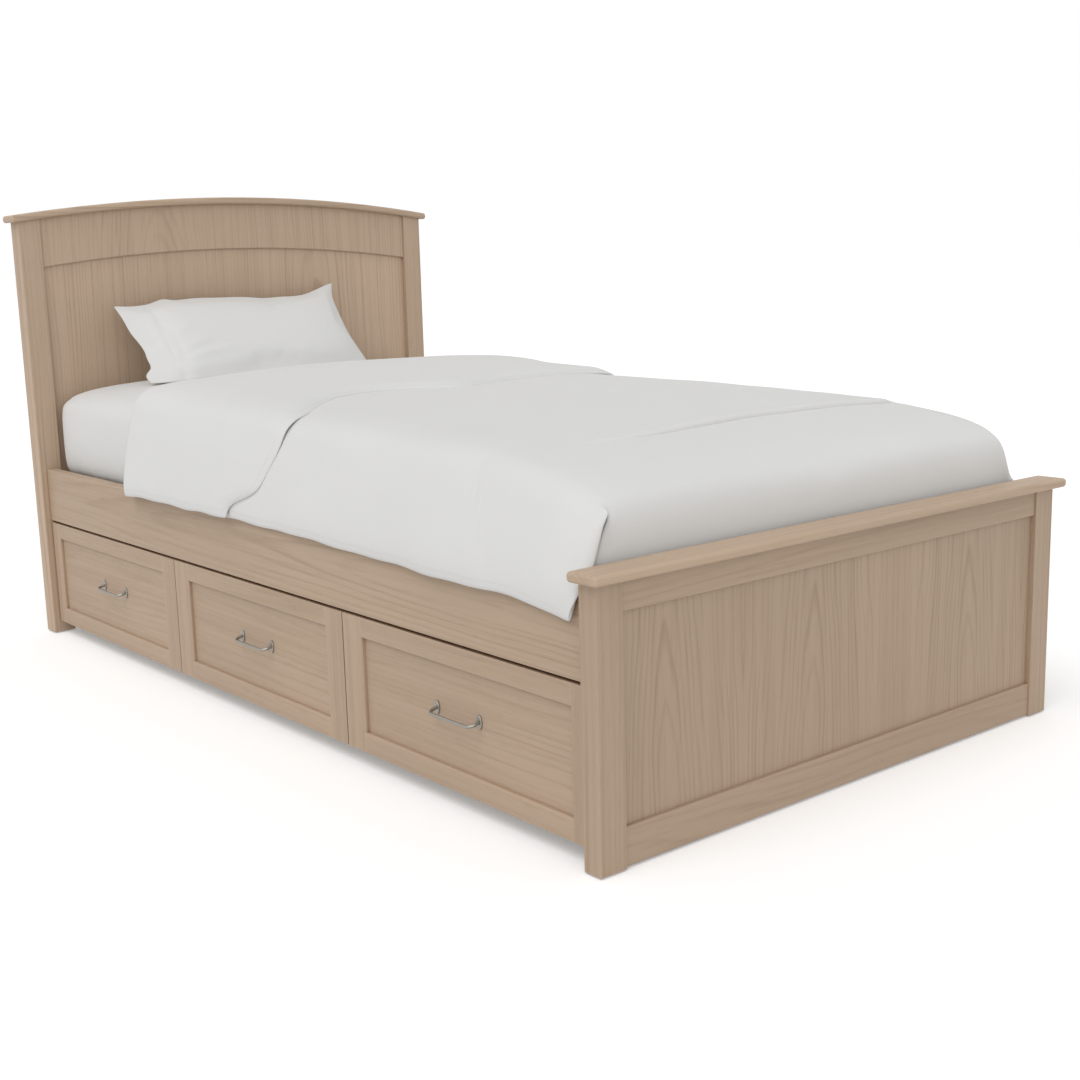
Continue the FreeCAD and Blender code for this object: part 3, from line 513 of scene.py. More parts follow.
def cotton_material(name, colour, weave, follows_surface):
    """Plain-woven cotton: crossing threads, uneven yarn, soft rumples and a faint sheen."""
    material, tree, shader = new_material(name)
    source = add_node(tree, "ShaderNodeTexCoord").outputs
    place = source["UV"] if follows_surface else source["Object"]
    turned = vector_calc(tree, "SCALE", {0: place, "Scale": 2.0 * math.pi / weave})
    threads = add_node(tree, "ShaderNodeSeparateXYZ", {0: vector_calc(tree, "SINE", {0: turned})}).outputs
    weft = cloudy(tree, place, (YARN_LONG, YARN_FINE, YARN_LONG), 1.0)
    warp = cloudy(tree, place, (YARN_FINE, YARN_LONG, YARN_LONG), 1.0)
    yarn = calc(tree, "ADD", weft, warp)
    rumple = cloudy(tree, source["Object"], RUMPLES, 3.0, 0.45)
    uneven = calc(tree, "MULTIPLY", rumple, RUMPLE_DEPTH)
    tone = calc(tree, "MULTIPLY_ADD", yarn, YARN_DEPTH, uneven, clamp=True)
    crossed = calc(tree, "ADD", threads[0], threads[1])
    cloth = calc(tree, "ADD", crossed, calc(tree, "MULTIPLY", yarn, YARN_RELIEF))
    fill_sockets(tree, shader, {
        "Base Color": patchy(tree, tone, colour, COTTON_TONES),
        "Roughness": calc(tree, "MULTIPLY_ADD", yarn, *COTTON_ROUGHNESS), **COTTON_SHINE,
        "Normal": bumped(tree, rumple, *RUMPLE_BUMP, Normal=bumped(tree, cloth, *WEAVE_BUMP))})
    return material


def flow(x, table):
    """Smooth curve through a table of (x, value) rows, level beyond its ends."""
    xs, ys = np.array(table, float).T
    slopes = np.gradient(ys, xs)
    x = np.clip(np.asarray(x, float), xs[0], xs[-1])
    i = np.clip(np.searchsorted(xs, x) - 1, 0, len(xs) - 2)
    width = xs[i + 1] - xs[i]
    t = (x - xs[i]) / width
    start = (1 + 2 * t) * (1 - t) ** 2 * ys[i] + t * (1 - t) ** 2 * width * slopes[i]
    end = t ** 2 * (3 - 2 * t) * ys[i + 1] + t ** 2 * (t - 1) * width * slopes[i + 1]
    return start + end


def ease(x, low, high):
    """Smooth step from 0 at low to 1 at high."""
    t = np.clip((np.asarray(x, float) - low) / (high - low), 0.0, 1.0)
    return t * t * (3 - 2 * t)


def run_along(points):
    """Length along a line of points, at each of them."""
    return np.concatenate([[0], np.cumsum(np.linalg.norm(np.diff(points, axis=0), axis=1))])


def even_line(points, count):
    """The smooth line through some points, divided into equal lengths."""
    points = np.array(points, float)
    knots = run_along(points)
    fine = np.linspace(0, knots[-1], FINE_STEPS * len(points))
    dense = np.stack([flow(fine, np.stack([knots, side], 1)) for side in points.T], 1)
    run = run_along(dense)
    return np.stack([np.interp(np.linspace(0, run[-1], count), run, side) for side in dense.T], 1)


def drift_at(points, size, seed):
    """Slow, repeatable unevenness between about -1 and 1 at each point."""
    return np.array([noise.noise(Vector(p) / size + Vector((seed, 2 * seed, 0))) for p in points])


def mesh_object(name, places, faces, uv=None, edges=()):
    """A new mesh object at the origin, with a surface map in metres where one is given for each vertex."""
    mesh = bpy.data.meshes.new(name)
    mesh.from_pydata([tuple(p) for p in places], edges, faces)
    if uv is not None:
        layer = mesh.uv_layers.new(name="surface")
        loops = np.empty(len(mesh.loops), int)
        mesh.loops.foreach_get("vertex_index", loops)
        layer.data.foreach_set("uv", np.asarray(uv, np.float32)[loops].ravel())
    mesh.update()
    made = bpy.data.objects.new(name, mesh)
    bpy.context.scene.collection.objects.link(made)
    return made


def places_of(mesh):
    """The vertices of a mesh as an array."""
    flat = np.empty(3 * len(mesh.vertices))
    mesh.vertices.foreach_get("co", flat)
    return flat.reshape(-1, 3)


def normals_of(mesh):
    """The normals at the vertices of a mesh as an array."""
    flat = np.empty(3 * len(mesh.vertices), np.float32)
    mesh.vertex_normals.foreach_get("vector", flat)
    return flat.reshape(-1, 3)


def set_places(made, places):
    """Move a piece's vertices."""
    made.data.vertices.foreach_set("co", np.asarray(places, np.float32).ravel())
    made.data.update()


def shown_mesh(made):
    """A piece's mesh with its modifiers."""
    return made.evaluated_get(bpy.context.evaluated_depsgraph_get()).data


def fill_cushion(made, pressure, reach, frames, stiffness, slack=0.0):
    """Swell a closed cover by its filling, and hold every point within reach of where it started."""
    start = places_of(made.data)
    cloth = made.modifiers.new("filling", "CLOTH")
    rules = cloth.settings
    rules.use_pressure = True
    rules.uniform_pressure_force = pressure
    rules.effector_weights.gravity = 0.0
    rules.tension_stiffness = rules.compression_stiffness = stiffness
    rules.shear_stiffness = stiffness / 3
    rules.bending_stiffness = CLOTH_BENDING
    rules.shrink_min = -slack
    rules.quality = CLOTH_QUALITY
    cloth.collision_settings.use_collision = False
    cloth.point_cache.frame_start = 1
    cloth.point_cache.frame_end = frames
    for step in range(1, frames + 1):
        bpy.context.scene.frame_set(step)
    move = places_of(shown_mesh(made)) - start
    made.modifiers.remove(cloth)
    bpy.context.scene.frame_set(1)
    distance = np.linalg.norm(move, axis=1, keepdims=True)
    if not np.isfinite(distance).all():
        raise RuntimeError(f"the filling of {made.name} ran away")
    set_places(made, start + move * (reach * np.tanh(distance / reach) / np.maximum(distance, LEAST)))


def soft_finish(made, material, node):
    shape = bmesh.new()
    shape.from_mesh(made.data)
    bmesh.ops.recalc_face_normals(shape, faces=shape.faces)
    shape.to_mesh(made.data)
    shape.free()
    finer = made.modifiers.new("smooth", "SUBSURF")
    finer.levels = finer.render_levels = 1
    made.data.shade_smooth()
    made.data.materials.append(material)
    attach(made, "bed_frame")
    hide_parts(node)


# ---------------------------------------------------------------- mattress

MATTRESS_CELL = 0.026  # spacing of the mattress mesh before it is smoothed
MATTRESS_HALF = 0.512  # half its width, with the sheet's fullness
MATTRESS_TOP = 0.577  # height of its top along the sides
MATTRESS_EDGE = (0.020, 0.020, 0.046)  # rounding of its edges, across, along and up
MATTRESS_SQUARE = 5.0  # how square its corners are in plan
MATTRESS_FOOT_ROOM = 0.012  # room at the foot for the duvet's tucked layers
MATTRESS_HEAD_ROOM = 0.0005
MATTRESS_CROWN = 0.006  # how much its top rises in the middle
MATTRESS_HEAD_RISE = 0.020  # how much more it rises at the head, where nothing presses it
MATTRESS_BARE = (0.46, 0.62)  # where along the bed it starts to rise, and is fully up
MATTRESS_SHOULDER = 0.014  # how much its top falls off towards the sides
MATTRESS_SWELL = 0.004  # furthest that its filling may push the sheet
MATTRESS_FILLING = (1.5, MATTRESS_SWELL, 10, 15.0)  # pressure, reach, steps and stiffness
SWELL_SPARE = 0.001  # part of the swell that needs no room
UNDER_COVER = 0.0175  # how far it keeps under the top of the duvet
UNDER_SIDES = 0.010  # how much further at the sides
COVER_END, COVER_FREE = (0.515, 0.600), 0.1  # where the duvet ends, and how far it may rise beyond
MATTRESS_RISES = (0.2, 1.0)  # shares of its height between which its top takes shape
MATTRESS_LEAST = 0.05  # least height that is left


def mattress_rise(x, y):
    """How much the mattress's top stands over the height along its sides."""
    rise = (MATTRESS_CROWN + MATTRESS_HEAD_RISE * ease(y, *MATTRESS_BARE)) * (1 - (x / MATTRESS_HALF) ** 2)
    return rise - MATTRESS_SHOULDER * (x / MATTRESS_HALF) ** 10


def rounded_block(low, high, edge, square, cell):
    """A block of even cells with every edge rounded, and its corners squarer in plan."""
    counts = np.maximum(2, np.round((high - low) / cell).astype(int))
    index, places, faces = {}, [], []

    def corner(key):
        if key not in index:
            index[key] = len(places)
            places.append(low + (high - low) * np.array(key) / counts)
        return index[key]

    for axis in range(3):
        u, v = (axis + 1) % 3, (axis + 2) % 3
        for end in (0, counts[axis]):
            for a, b in np.ndindex(counts[u], counts[v]):
                ring = []
                for da, db in ((0, 0), (1, 0), (1, 1), (0, 1)):
                    key = [0, 0, 0]
                    key[axis], key[u], key[v] = end, a + da, b + db
                    ring.append(corner(tuple(key)))
                faces.append(ring if end else ring[::-1])
    places = np.array(places)
    inner = np.clip(places, low + edge, high - edge)
    out = (places - inner) / edge
    plan = (np.abs(out[:, :2]) ** square).sum(1) ** (1 / square)
    return inner + out * edge / np.maximum(np.hypot(plan, out[:, 2])[:, None], LEAST), faces


class BED_OT_mattress(Operator):
    """Make the mattress in its fitted sheet"""

    bl_idname = "bed.mattress"
    bl_label = "Make the mattress"

    def execute(self, context):
        look = context.scene.bed_bedding
        pad = MATTRESS_SWELL - SWELL_SPARE
        low = np.array((-MATTRESS_HALF, MATTRESS_LOW.y, MATTRESS_LOW.z)) + (pad, MATTRESS_FOOT_ROOM, 0.0)
        high = np.array((MATTRESS_HALF, MATTRESS_HIGH.y, MATTRESS_TOP)) - (pad, MATTRESS_HEAD_ROOM, pad)
        places, faces = rounded_block(low, high, np.array(MATTRESS_EDGE), MATTRESS_SQUARE, MATTRESS_CELL)
        x, y, z = places.T
        share = (z - low[2]) / (high[2] - low[2])
        places[:, 2] += mattress_rise(x, y) * ease(share, *MATTRESS_RISES)
        under = flow(y, COVER_TOP) - UNDER_COVER - UNDER_SIDES * (x / MATTRESS_HALF) ** 4
        under = np.maximum(under + COVER_FREE * ease(y, *COVER_END), low[2] + MATTRESS_LEAST)
        places[:, 2] = np.minimum(places[:, 2], under)
        made = mesh_object("sheeted_mattress", places, faces)
        fill_cushion(made, *MATTRESS_FILLING)
        sheet = cotton_material("sheet_cotton", look.sheet, look.weave, False)
        soft_finish(made, sheet, "mattress")
        return {"FINISHED"}


# ---------------------------------------------------------------- duvet

COVER_TOP = (  # top of the single layer along the middle of the bed: place along the bed, height
    (-0.930, 0.5275), (-0.906, 0.541), (-0.855, 0.556), (-0.780, 0.567), (-0.622, 0.580), (-0.441, 0.586),
    (-0.264, 0.590), (-0.100, 0.592), (0.250, 0.593), (0.600, 0.593))
HEM_HEIGHT = (  # lower edge of the side drapes: place along the bed, height
    (-0.945, 0.360), (-0.850, 0.371), (-0.730, 0.377), (-0.590, 0.376), (-0.410, 0.381), (-0.180, 0.386),
    (0.030, 0.388), (0.600, 0.386))
HEM_WAVES = ((0.0016, 21.0, 0.0), (0.0011, 47.0, 1.0))  # height, waves and start of its unevenness
FOOT_DROP = (  # middle of the layer that is tucked behind the footboard: place along the bed, height
    (-0.9300, 0.5230), (-0.9345, 0.5120), (-0.9368, 0.4950), (-0.9375, 0.4700), (-0.9375, 0.4400),
    (-0.9375, 0.3890))
FREE_EDGE = (  # free edge of the turned-back layer: length from the middle, place along the bed
    (-0.690, 0.040), (-0.660, -0.040), (-0.610, -0.082), (-0.545, -0.112), (-0.505, -0.111), (-0.470, -0.095),
    (-0.430, -0.062), (-0.385, -0.016), (-0.305, 0.056), (-0.248, 0.083), (-0.190, 0.092), (-0.137, 0.085),
    (-0.089, 0.068), (-0.040, 0.040), (0.000, 0.028), (0.077, 0.048), (0.167, 0.080), (0.291, 0.104),
    (0.434, 0.120), (0.545, 0.112), (0.610, 0.122), (0.690, 0.170))
FOLD_LINE = (  # the fold itself: length from the middle, place along the bed
    (-0.690, 0.478), (-0.620, 0.486), (-0.540, 0.490), (-0.400, 0.494), (0.400, 0.494), (0.540, 0.490),
    (0.620, 0.486), (0.690, 0.478))
CORNER_Y = -0.930  # where the layers part at the foot corners
CORNER_TURN = -0.880  # where the side drapes start to turn round those corners
CORNER_ROUND = 0.010  # how far they have turned inwards there
CORNER_SIDES, CORNER_HIGH = (0.47, 0.50), (0.40, 0.43)  # across the bed and up, where they do so
CORNER_X = 0.485  # half the width of the layer that is tucked at the foot, at its top
TUCK_IN = 0.014  # how far that layer's edges keep inside the side drapes
RAIL_CLEAR = 0.420  # above this height the tucked layer may pass over the side rails
TUCK_LOW_HALF = 0.506  # half its width below that height
LIP_END = (  # end of the near drape, which laps over the tucked layer: height, place along the bed
    (0.352, -0.9350), (0.368, -0.9410), (0.406, -0.9550), (0.435, -0.9500), (0.470, -0.9475), (0.520, -0.9475))
LIP_REACH = (  # how far that end is turned inwards: height, reach
    (0.395, 0.000), (0.415, 0.006), (0.435, 0.014), (0.455, 0.012), (0.480, 0.008), (0.500, 0.005),
    (0.520, 0.001))
LIP_TURN, LIP_SHARES, LIP_SLIDE = 1.6, (0.3, 0.7), (0.2, 1.0)  # how soon it turns, then slides inwards
FAR_END = (-0.004, -0.014, 0.0)  # free end of the far drape, from its corner
DRAPE_HALF = 0.5507  # middle of the side drape where it passes the side rail
DRAPE_LEAN = 0.001  # how much it has leaned in at the top of that rail
DRAPE_SPREAD = 0.0112  # how much further out the turned-back layer hangs
DRAPE_OVER = 0.006  # how far over the rail it starts to slope in
DRAPE_SHOULDER = 0.036  # how far the shoulder lies under the top
DRAPE_SLOPE = ((0.537, 0.42), (0.520, 0.84))  # half width, share of the way up to the shoulder
DRAPE_BEND = ((0.507, 1.0, 0.0100), (0.486, 0.7, 0.0260))  # half width, share of the spread, height over it
DRAPE_TOP = (  # the same over the top
    (0.450, 0.4, -0.0040), (0.360, 0.0, -0.0005), (0.180, 0.0, 0.0022), (0.0, 0.0, 0.0030))
HEM_STEP = 0.001  # how far the turned-back layer's hem lies over the cover's
FOOT_SECTIONS, SECTIONS = (CORNER_Y, -0.800, 12), (-0.800, 0.600, 81)  # from, to and how many
COVER_STOPS = (  # rows of the cover: from, to and how many
    (CORNER_Y, -0.805, 11), (-0.790, -0.760, 3), (-0.752, -0.674, 27), (-0.660, 0.494, 46))
MIDDLE_SECTION = 60  # the section that lengths from the middle are measured on
EDGE_GAIN = 0.002  # how much the turned-back layer has gained on its free edge's lift, half way
LOFT_HALF, LOFT_RISE = 0.50, (0.12, 0.46)  # half width of the loft, and where it rises along the bed
ROLL_DEPTH = 0.95  # how round the fold is
EDGE_REST, EDGE_SIDES = (0.52, 0.70), (0.44, 0.56)  # share of its lift at the edge, on top and at the sides
EDGE_REACH = 0.050  # how far from its edge the layer has its whole lift
DUVET_COLUMNS, FLAP_ROWS, ROLL_ROWS, FOOT_ROWS, LIP_ROWS = 91, 34, 5, 9, 5
BRIDGE_STEPS = 3  # cells round the far corner, where the layers stay joined
ROW_PITCH, LIP_PITCH = 0.0176, 0.008  # on the surface map
HEM_THIN, NEAR_THIN = 0.45, 0.95  # share of the thickness that is left at an edge, and next to it
DUVET_FILLING = {"stiffness": 12.0, "slack": 0.004}
DUVET_PRESSURE = 1.2
TOP_SIDE, LOW_SIDE = (0.50, 0.56), (0.40, 0.50)  # heights where the top begins and the drape's foot ends
LUMPS = ((0.0030, 0.34, 3.0), (0.0012, 0.12, 7.0))  # height, size and seed of the filling's unevenness
SIDE_LUMPS = 0.6  # its share at the sides
CREASE = (  # crease across the foot end: place across the bed, place along it
    (-0.450, -0.730), (-0.356, -0.731), (-0.192, -0.729), (-0.055, -0.713), (0.110, -0.698), (0.305, -0.700),
    (0.450, -0.716))
CREASE_START, CREASE_STOP = (-0.42, -0.05), (0.42, 0.47)  # across the bed
CREASE_LINE = (-0.004, 0.003)  # its steep side
CREASE_STEP = (0.0075, 0.090)  # height, and how far it runs out
CREASE_DENT = (0.0020, 0.014)  # depth before it, and how far that runs out
CREASE_LAP = (0.0120, 0.004, 0.008)  # overhang, its place and its width
SECOND_LINE = (0.33, 0.22, 0.014, 0.002)  # a fainter crease: place, slant, width and height
SECOND_START, SECOND_STOP = (-0.10, 0.05), (0.15, 0.30)
SIDE_WAVE = (0.0022, 17.0, 0.8, 5.0)  # depth and waves of the drapes, and how unevenly they follow


def drape_section(top, hem, spread):
    """Half of the bed's cross-section through a layer of the duvet, mirrored and evenly divided."""
    over = RAIL_HIGH.z + DRAPE_OVER
    shoulder = top - DRAPE_SHOULDER
    side = DRAPE_HALF + spread
    half = [(side, hem), (side, (hem + over) / 2), (DRAPE_HALF - DRAPE_LEAN + spread, over)]
    half += [(x + spread, over + share * (shoulder - over)) for x, share in DRAPE_SLOPE]
    half += [(x + share * spread, shoulder + rise) for x, share, rise in DRAPE_BEND]
    half += [(x + share * spread, top + rise) for x, share, rise in DRAPE_TOP]
    return even_line([(-x, z) for x, z in half] + half[-2::-1], DUVET_COLUMNS)


def duvet_sheet(look):
    """The middle of the duvet as one sheet: cover, fold and turned-back layer."""
    rows_y = np.concatenate([np.linspace(*FOOT_SECTIONS)[:-1], np.linspace(*SECTIONS)])
    low, high = look.edge_lift, look.fold_lift
    lift = flow(rows_y, ((-0.95, low), (-0.20, low), (0.20, low + EDGE_GAIN), (0.50, high), (0.60, high)))
    top = flow(rows_y, COVER_TOP) - look.duvet_thickness / 2
    hem = flow(rows_y, HEM_HEIGHT)
    for size, waves, start in HEM_WAVES:
        hem = hem + size * np.sin(rows_y * waves + start)
    cover = np.array([drape_section(t, h, 0.0) for t, h in zip(top, hem)])
    raised = np.array([drape_section(t + l, h + HEM_STEP, DRAPE_SPREAD) for t, h, l in zip(top, hem, lift)])
    lengths = run_along(raised[MIDDLE_SECTION])
    lengths -= lengths[-1] / 2
    fold, free = flow(lengths, FOLD_LINE), flow(lengths, FREE_EDGE)

    def laid(layer, y):
        """Places across and up on a layer, for rows of places along the bed."""
        return np.stack([[np.interp(y[:, c], rows_y, layer[:, c, k]) for c in range(DUVET_COLUMNS)]
                         for k in (0, 1)]).transpose(2, 1, 0)

    def lofted(places, y):
        """Those places with the loft of the fold."""
        bulge = np.maximum(0.0, 1 - (lengths / LOFT_HALF) ** 2)
        return places + np.stack([np.zeros_like(y), look.fold_loft * bulge * ease(y, *LOFT_RISE)], 2)

    stops = np.concatenate([np.linspace(*stop) for stop in COVER_STOPS])
    shares = (stops - CORNER_Y) / (stops[-1] - CORNER_Y)
    cover_y = CORNER_Y + shares[:, None] * (fold - CORNER_Y)
    turn = (math.pi * np.arange(1, ROLL_ROWS + 1) / (ROLL_ROWS + 1))[:, None]
    under, over = laid(cover, fold[None]), lofted(laid(raised, fold[None]), fold[None])
    roll = (under + over) / 2 + (under - over) / 2 * np.cos(turn)[:, :, None]
    roll_y = fold + np.linalg.norm(under - over, axis=2) / 2 * ROLL_DEPTH * np.sin(turn)
    share = (np.arange(FLAP_ROWS + 1) / FLAP_ROWS)[:, None]
    flap_y = fold + share * (free - fold)
    rest = EDGE_REST[0] + (EDGE_REST[1] - EDGE_REST[0]) * ease(abs(lengths), *EDGE_SIDES)
    loose = (rest + (1 - rest) * ease((1 - share) * (fold - free), 0.0, EDGE_REACH))[:, :, None]
    flap = lofted(laid(cover, flap_y) * (1 - loose) + laid(raised, flap_y) * loose, flap_y)
    places = np.concatenate([laid(cover, cover_y), roll, flap])
    along = np.concatenate([cover_y, roll_y, flap_y])
    return np.stack([places[:, :, 0], along, places[:, :, 1]], 2), len(shares), lengths


def ruffle(points):
    """Soft unevenness of the filled cover, with the crease across its foot end."""
    x, y, z = points.T
    on_top = ease(z, *TOP_SIDE)
    lumps = sum(height * drift_at(points, size, seed) for height, size, seed in LUMPS)
    away = y - flow(x, CREASE)
    strength = ease(x, *CREASE_START) * (1 - ease(x, *CREASE_STOP)) * on_top
    steep = ease(away, *CREASE_LINE)
    step = CREASE_STEP[0] * steep * np.exp(-np.maximum(away, 0) / CREASE_STEP[1])
    dent = CREASE_DENT[0] * np.exp(np.minimum(away, 0) / CREASE_DENT[1]) * (1 - steep)
    lap = CREASE_LAP[0] * np.exp(-((away - CREASE_LAP[1]) / CREASE_LAP[2]) ** 2)
    place, slant, width, height = SECOND_LINE
    second = np.exp(-((y + place - slant * x) / width) ** 2)
    second = second * ease(x, *SECOND_START) * (1 - ease(x, *SECOND_STOP))
    depth, pitch, uneven, follow = SIDE_WAVE
    waves = (1 - ease(z, *LOW_SIDE)) * (depth + depth * np.sin(y * pitch + uneven * np.sin(y * follow)))
    across = np.sign(x) * (waves + (1 - on_top) * np.abs(lumps) * SIDE_LUMPS)
    up = on_top * (lumps + height * second) + strength * (step - dent)
    return points + np.stack([across, -strength * lap, up], 1)


def thick_shell(name, points, faces, uv, thickness):
    """Two layers a thickness apart on either side of a sheet, thinner and joined along its edge."""
    sheet = bpy.data.meshes.new(name + "_sheet")
    sheet.from_pydata([tuple(p) for p in points], [], faces)
    sheet.update()
    normals = normals_of(sheet)
    shape = bmesh.new()
    shape.from_mesh(sheet)
    shape.verts.ensure_lookup_table()
    loops = [line.link_loops[0] for line in shape.edges if line.is_boundary]
    rim = [(loop.vert.index, loop.link_loop_next.vert.index) for loop in loops]
    edge = sorted({i for pair in rim for i in pair})
    near = sorted({v.index for i in edge for e in shape.verts[i].link_edges for v in e.verts} - set(edge))
    shape.free()
    bpy.data.meshes.remove(sheet)
    thick = np.full(len(points), thickness)
    thick[near] *= NEAR_THIN
    thick[edge] *= HEM_THIN
    half = normals * thick[:, None] / 2
    count = len(points)
    shell = [tuple(f) for f in faces] + [tuple(i + count for i in f[::-1]) for f in faces]
    shell += [(b, a, a + count, b + count) for a, b in rim]
    return mesh_object(name, np.concatenate([points + half, points - half]), shell, np.concatenate([uv, uv]))


def lapped(corner, share):
    """A point of the near drape's end, lapped over the tucked layer by a share of its reach."""
    x, y, z = corner
    turn = min(1.0, share * LIP_TURN) * math.pi / 2
    back = y - float(flow(z, LIP_END))
    slid = LIP_SHARES[0] * (1 - math.cos(turn)) + LIP_SHARES[1] * float(ease(share, *LIP_SLIDE))
    inward = float(flow(z, LIP_REACH)) * slid
    return x - math.copysign(inward, x), y - back * math.sin(turn), z


def bridged(corner, tied, share):
    """A point round the far corner, between the drape's end and the tucked layer or its own free end."""
    x, y, z = corner
    end = np.array(tied) if tied else corner + FAR_END
    turn = share * math.pi / 2
    return end[0] + (x - end[0]) * math.cos(turn), y + (end[1] - y) * math.sin(turn), z + (end[2] - z) * share


class BED_OT_duvet(Operator):
    """Make the duvet, tucked at the foot and turned back below the pillow"""

    bl_idname = "bed.duvet"
    bl_label = "Make the duvet"

    def execute(self, context):
        look = context.scene.bed_bedding
        grid, cover_rows, lengths = duvet_sheet(look)
        rows, columns = grid.shape[:2]
        middle = [c for c in range(columns) if abs(grid[0, c, 0]) <= CORNER_X]
        x, y, z = grid.transpose(2, 0, 1)
        turned = np.maximum(0, (CORNER_TURN - y) / (CORNER_TURN - CORNER_Y)) ** 2 * ease(abs(x), *CORNER_SIDES)
        grid[:, :, 0] -= np.sign(x) * CORNER_ROUND * turned * ease(z, *CORNER_HIGH)
        points, uv, faces, index = self.mesh_of(grid, middle, lengths)
        points = ruffle(np.array(points))
        made = thick_shell("folded_duvet", points, faces, np.array(uv), look.duvet_thickness)
        fill_cushion(made, DUVET_PRESSURE, look.duvet_swell, look.filling_frames, **DUVET_FILLING)
        cover = cotton_material("duvet_cotton", look.cotton, look.weave, True)
        soft_finish(made, cover, "duvet")
        count = len(points)
        hems = [[index[rows - 2, c] + count for c in range(1, columns - 1)]]
        for c in (1, columns - 2):
            hems.append([index[r, c] for r in range(1, cover_rows)])
            hems.append([index[r, c] + count for r in range(cover_rows + ROLL_ROWS, rows - 1)])
        sew_hems("duvet_stitches", made, hems, look)
        return {"FINISHED"}

    def mesh_of(self, grid, middle, lengths):
        """The sheet with its tucked foot and both foot corners: points, surface map, faces and index."""
        rows, columns = grid.shape[:2]
        near, far = list(range(middle[0])), list(range(middle[-1] + 1, columns))
        points, uv, faces, index = [], [], [], {}

        def add(key, place, spot):
            index[key] = len(points)
            points.append(tuple(place))
            uv.append(spot)

        for r, c in np.ndindex(rows, columns):
            add((r, c), grid[r, c], (lengths[c], ROW_PITCH * r))
        drop = even_line(FOOT_DROP, FOOT_ROWS + 1)
        for step in range(1, FOOT_ROWS + 1):
            fade = 1 - step / FOOT_ROWS
            half = TUCK_LOW_HALF
            if drop[step, 1] >= RAIL_CLEAR:
                half = abs(grid[0, middle[-1] + step, 0]) - TUCK_IN
            for c in middle:
                across, _, up = grid[0, c]
                place = (across * half / grid[0, middle[-1], 0], drop[step, 0],
                         drop[step, 1] + (up - drop[0, 1]) * fade)
                add((-step, c), place, (lengths[c], -ROW_PITCH * step))
        for c in near:
            for step in range(1, LIP_ROWS + 1):
                add((-step, c), lapped(grid[0, c], step / LIP_ROWS), (lengths[c], -LIP_PITCH * step))
        strips = ((-FOOT_ROWS, 0, middle), (0, rows - 1, range(columns)), (-LIP_ROWS, 0, near))
        for first, last, strip in strips:
            for r in range(first, last):
                for c in strip[:-1]:
                    faces.append((index[r, c], index[r, c + 1], index[r + 1, c + 1], index[r + 1, c]))
        for step in range(LIP_ROWS):
            faces.append((index[-step - 1, near[-1]], index[0, middle[0]], index[-step, near[-1]]))
        joined = sum(drop[1:, 1] >= RAIL_CLEAR)
        for step, c in enumerate(far, 1):
            index["bridge", step, 0] = index[0, c]
            tied = points[index[-step, middle[-1]]] if step <= joined else None
            for part in range(1, BRIDGE_STEPS + 1):
                if tied and part == BRIDGE_STEPS:
                    index["bridge", step, part] = index[-step, middle[-1]]
                else:
                    place = bridged(grid[0, c], tied, part / BRIDGE_STEPS)
                    add(("bridge", step, part), place, (lengths[c], -LIP_PITCH * part))
        for part in range(BRIDGE_STEPS):
            faces.append((index[0, middle[-1]], index["bridge", 1, part + 1], index["bridge", 1, part]))
            for step in range(1, len(far)):
                faces.append((index["bridge", step, part], index["bridge", step, part + 1],
                              index["bridge", step + 1, part + 1], index["bridge", step + 1, part]))
        return points, uv, faces, index


# ---------------------------------------------------------------- pillow

PILLOW_CELLS = (66, 38)
PILLOW_FLAT = (0.676, 0.345)  # the empty case, across the bed and up the headboard
PILLOW_FOOT = (0.7625, 0.5866)  # line that its lower edge lies on: place along the bed, height
PILLOW_SWELL = 0.011  # furthest that its filling may push the case
PILLOW_PRESSURE, PILLOW_STIFFNESS = 4.0, 14.0
PILLOW_ENDS = (3.2, 0.7)  # how squarely it thins towards its ends
PILLOW_FRONT = (  # front of the filled case: share of the height, share of half its thickness
    (0.00, 0.86), (0.04, 0.90), (0.10, 0.95), (0.20, 0.98), (0.35, 0.96), (0.50, 0.87), (0.70, 0.64),
    (0.85, 0.38), (0.95, 0.14), (1.00, 0.00))
PILLOW_BACK = (  # its back, which lies on the sheet and the headboard
    (0.00, 0.86), (0.05, 0.15), (0.12, -0.45), (0.25, -0.85), (0.45, -0.90), (0.65, -0.70), (0.85, -0.34),
    (0.95, -0.12), (1.00, 0.00))
PILLOW_TOP_EDGE = (  # upper edge of the filled case: share of the width, height up its slope
    (0.000, 0.254), (0.080, 0.258), (0.153, 0.265), (0.214, 0.278), (0.260, 0.274), (0.337, 0.277),
    (0.457, 0.276), (0.560, 0.274), (0.640, 0.268), (0.720, 0.270), (0.790, 0.270), (0.880, 0.279),
    (0.960, 0.291), (1.000, 0.298))
PILLOW_LOW_EDGE = (  # its lower edge: share of the width, height up its slope
    (0.00, -0.002), (0.10, -0.024), (0.25, -0.042), (0.50, -0.044), (0.75, -0.038), (0.90, -0.018),
    (1.00, 0.000))
PILLOW_LEFT_EDGE = (  # its open end: share of the height, place across the bed
    (0.00, -0.362), (0.11, -0.368), (0.21, -0.352), (0.34, -0.351), (0.42, -0.350), (0.66, -0.364),
    (0.85, -0.369), (1.00, -0.376))
PILLOW_RIGHT_EDGE = (  # its closed end: share of the height, place across the bed
    (0.00, 0.252), (0.15, 0.249), (0.30, 0.248), (0.58, 0.250), (0.84, 0.260), (1.00, 0.279))
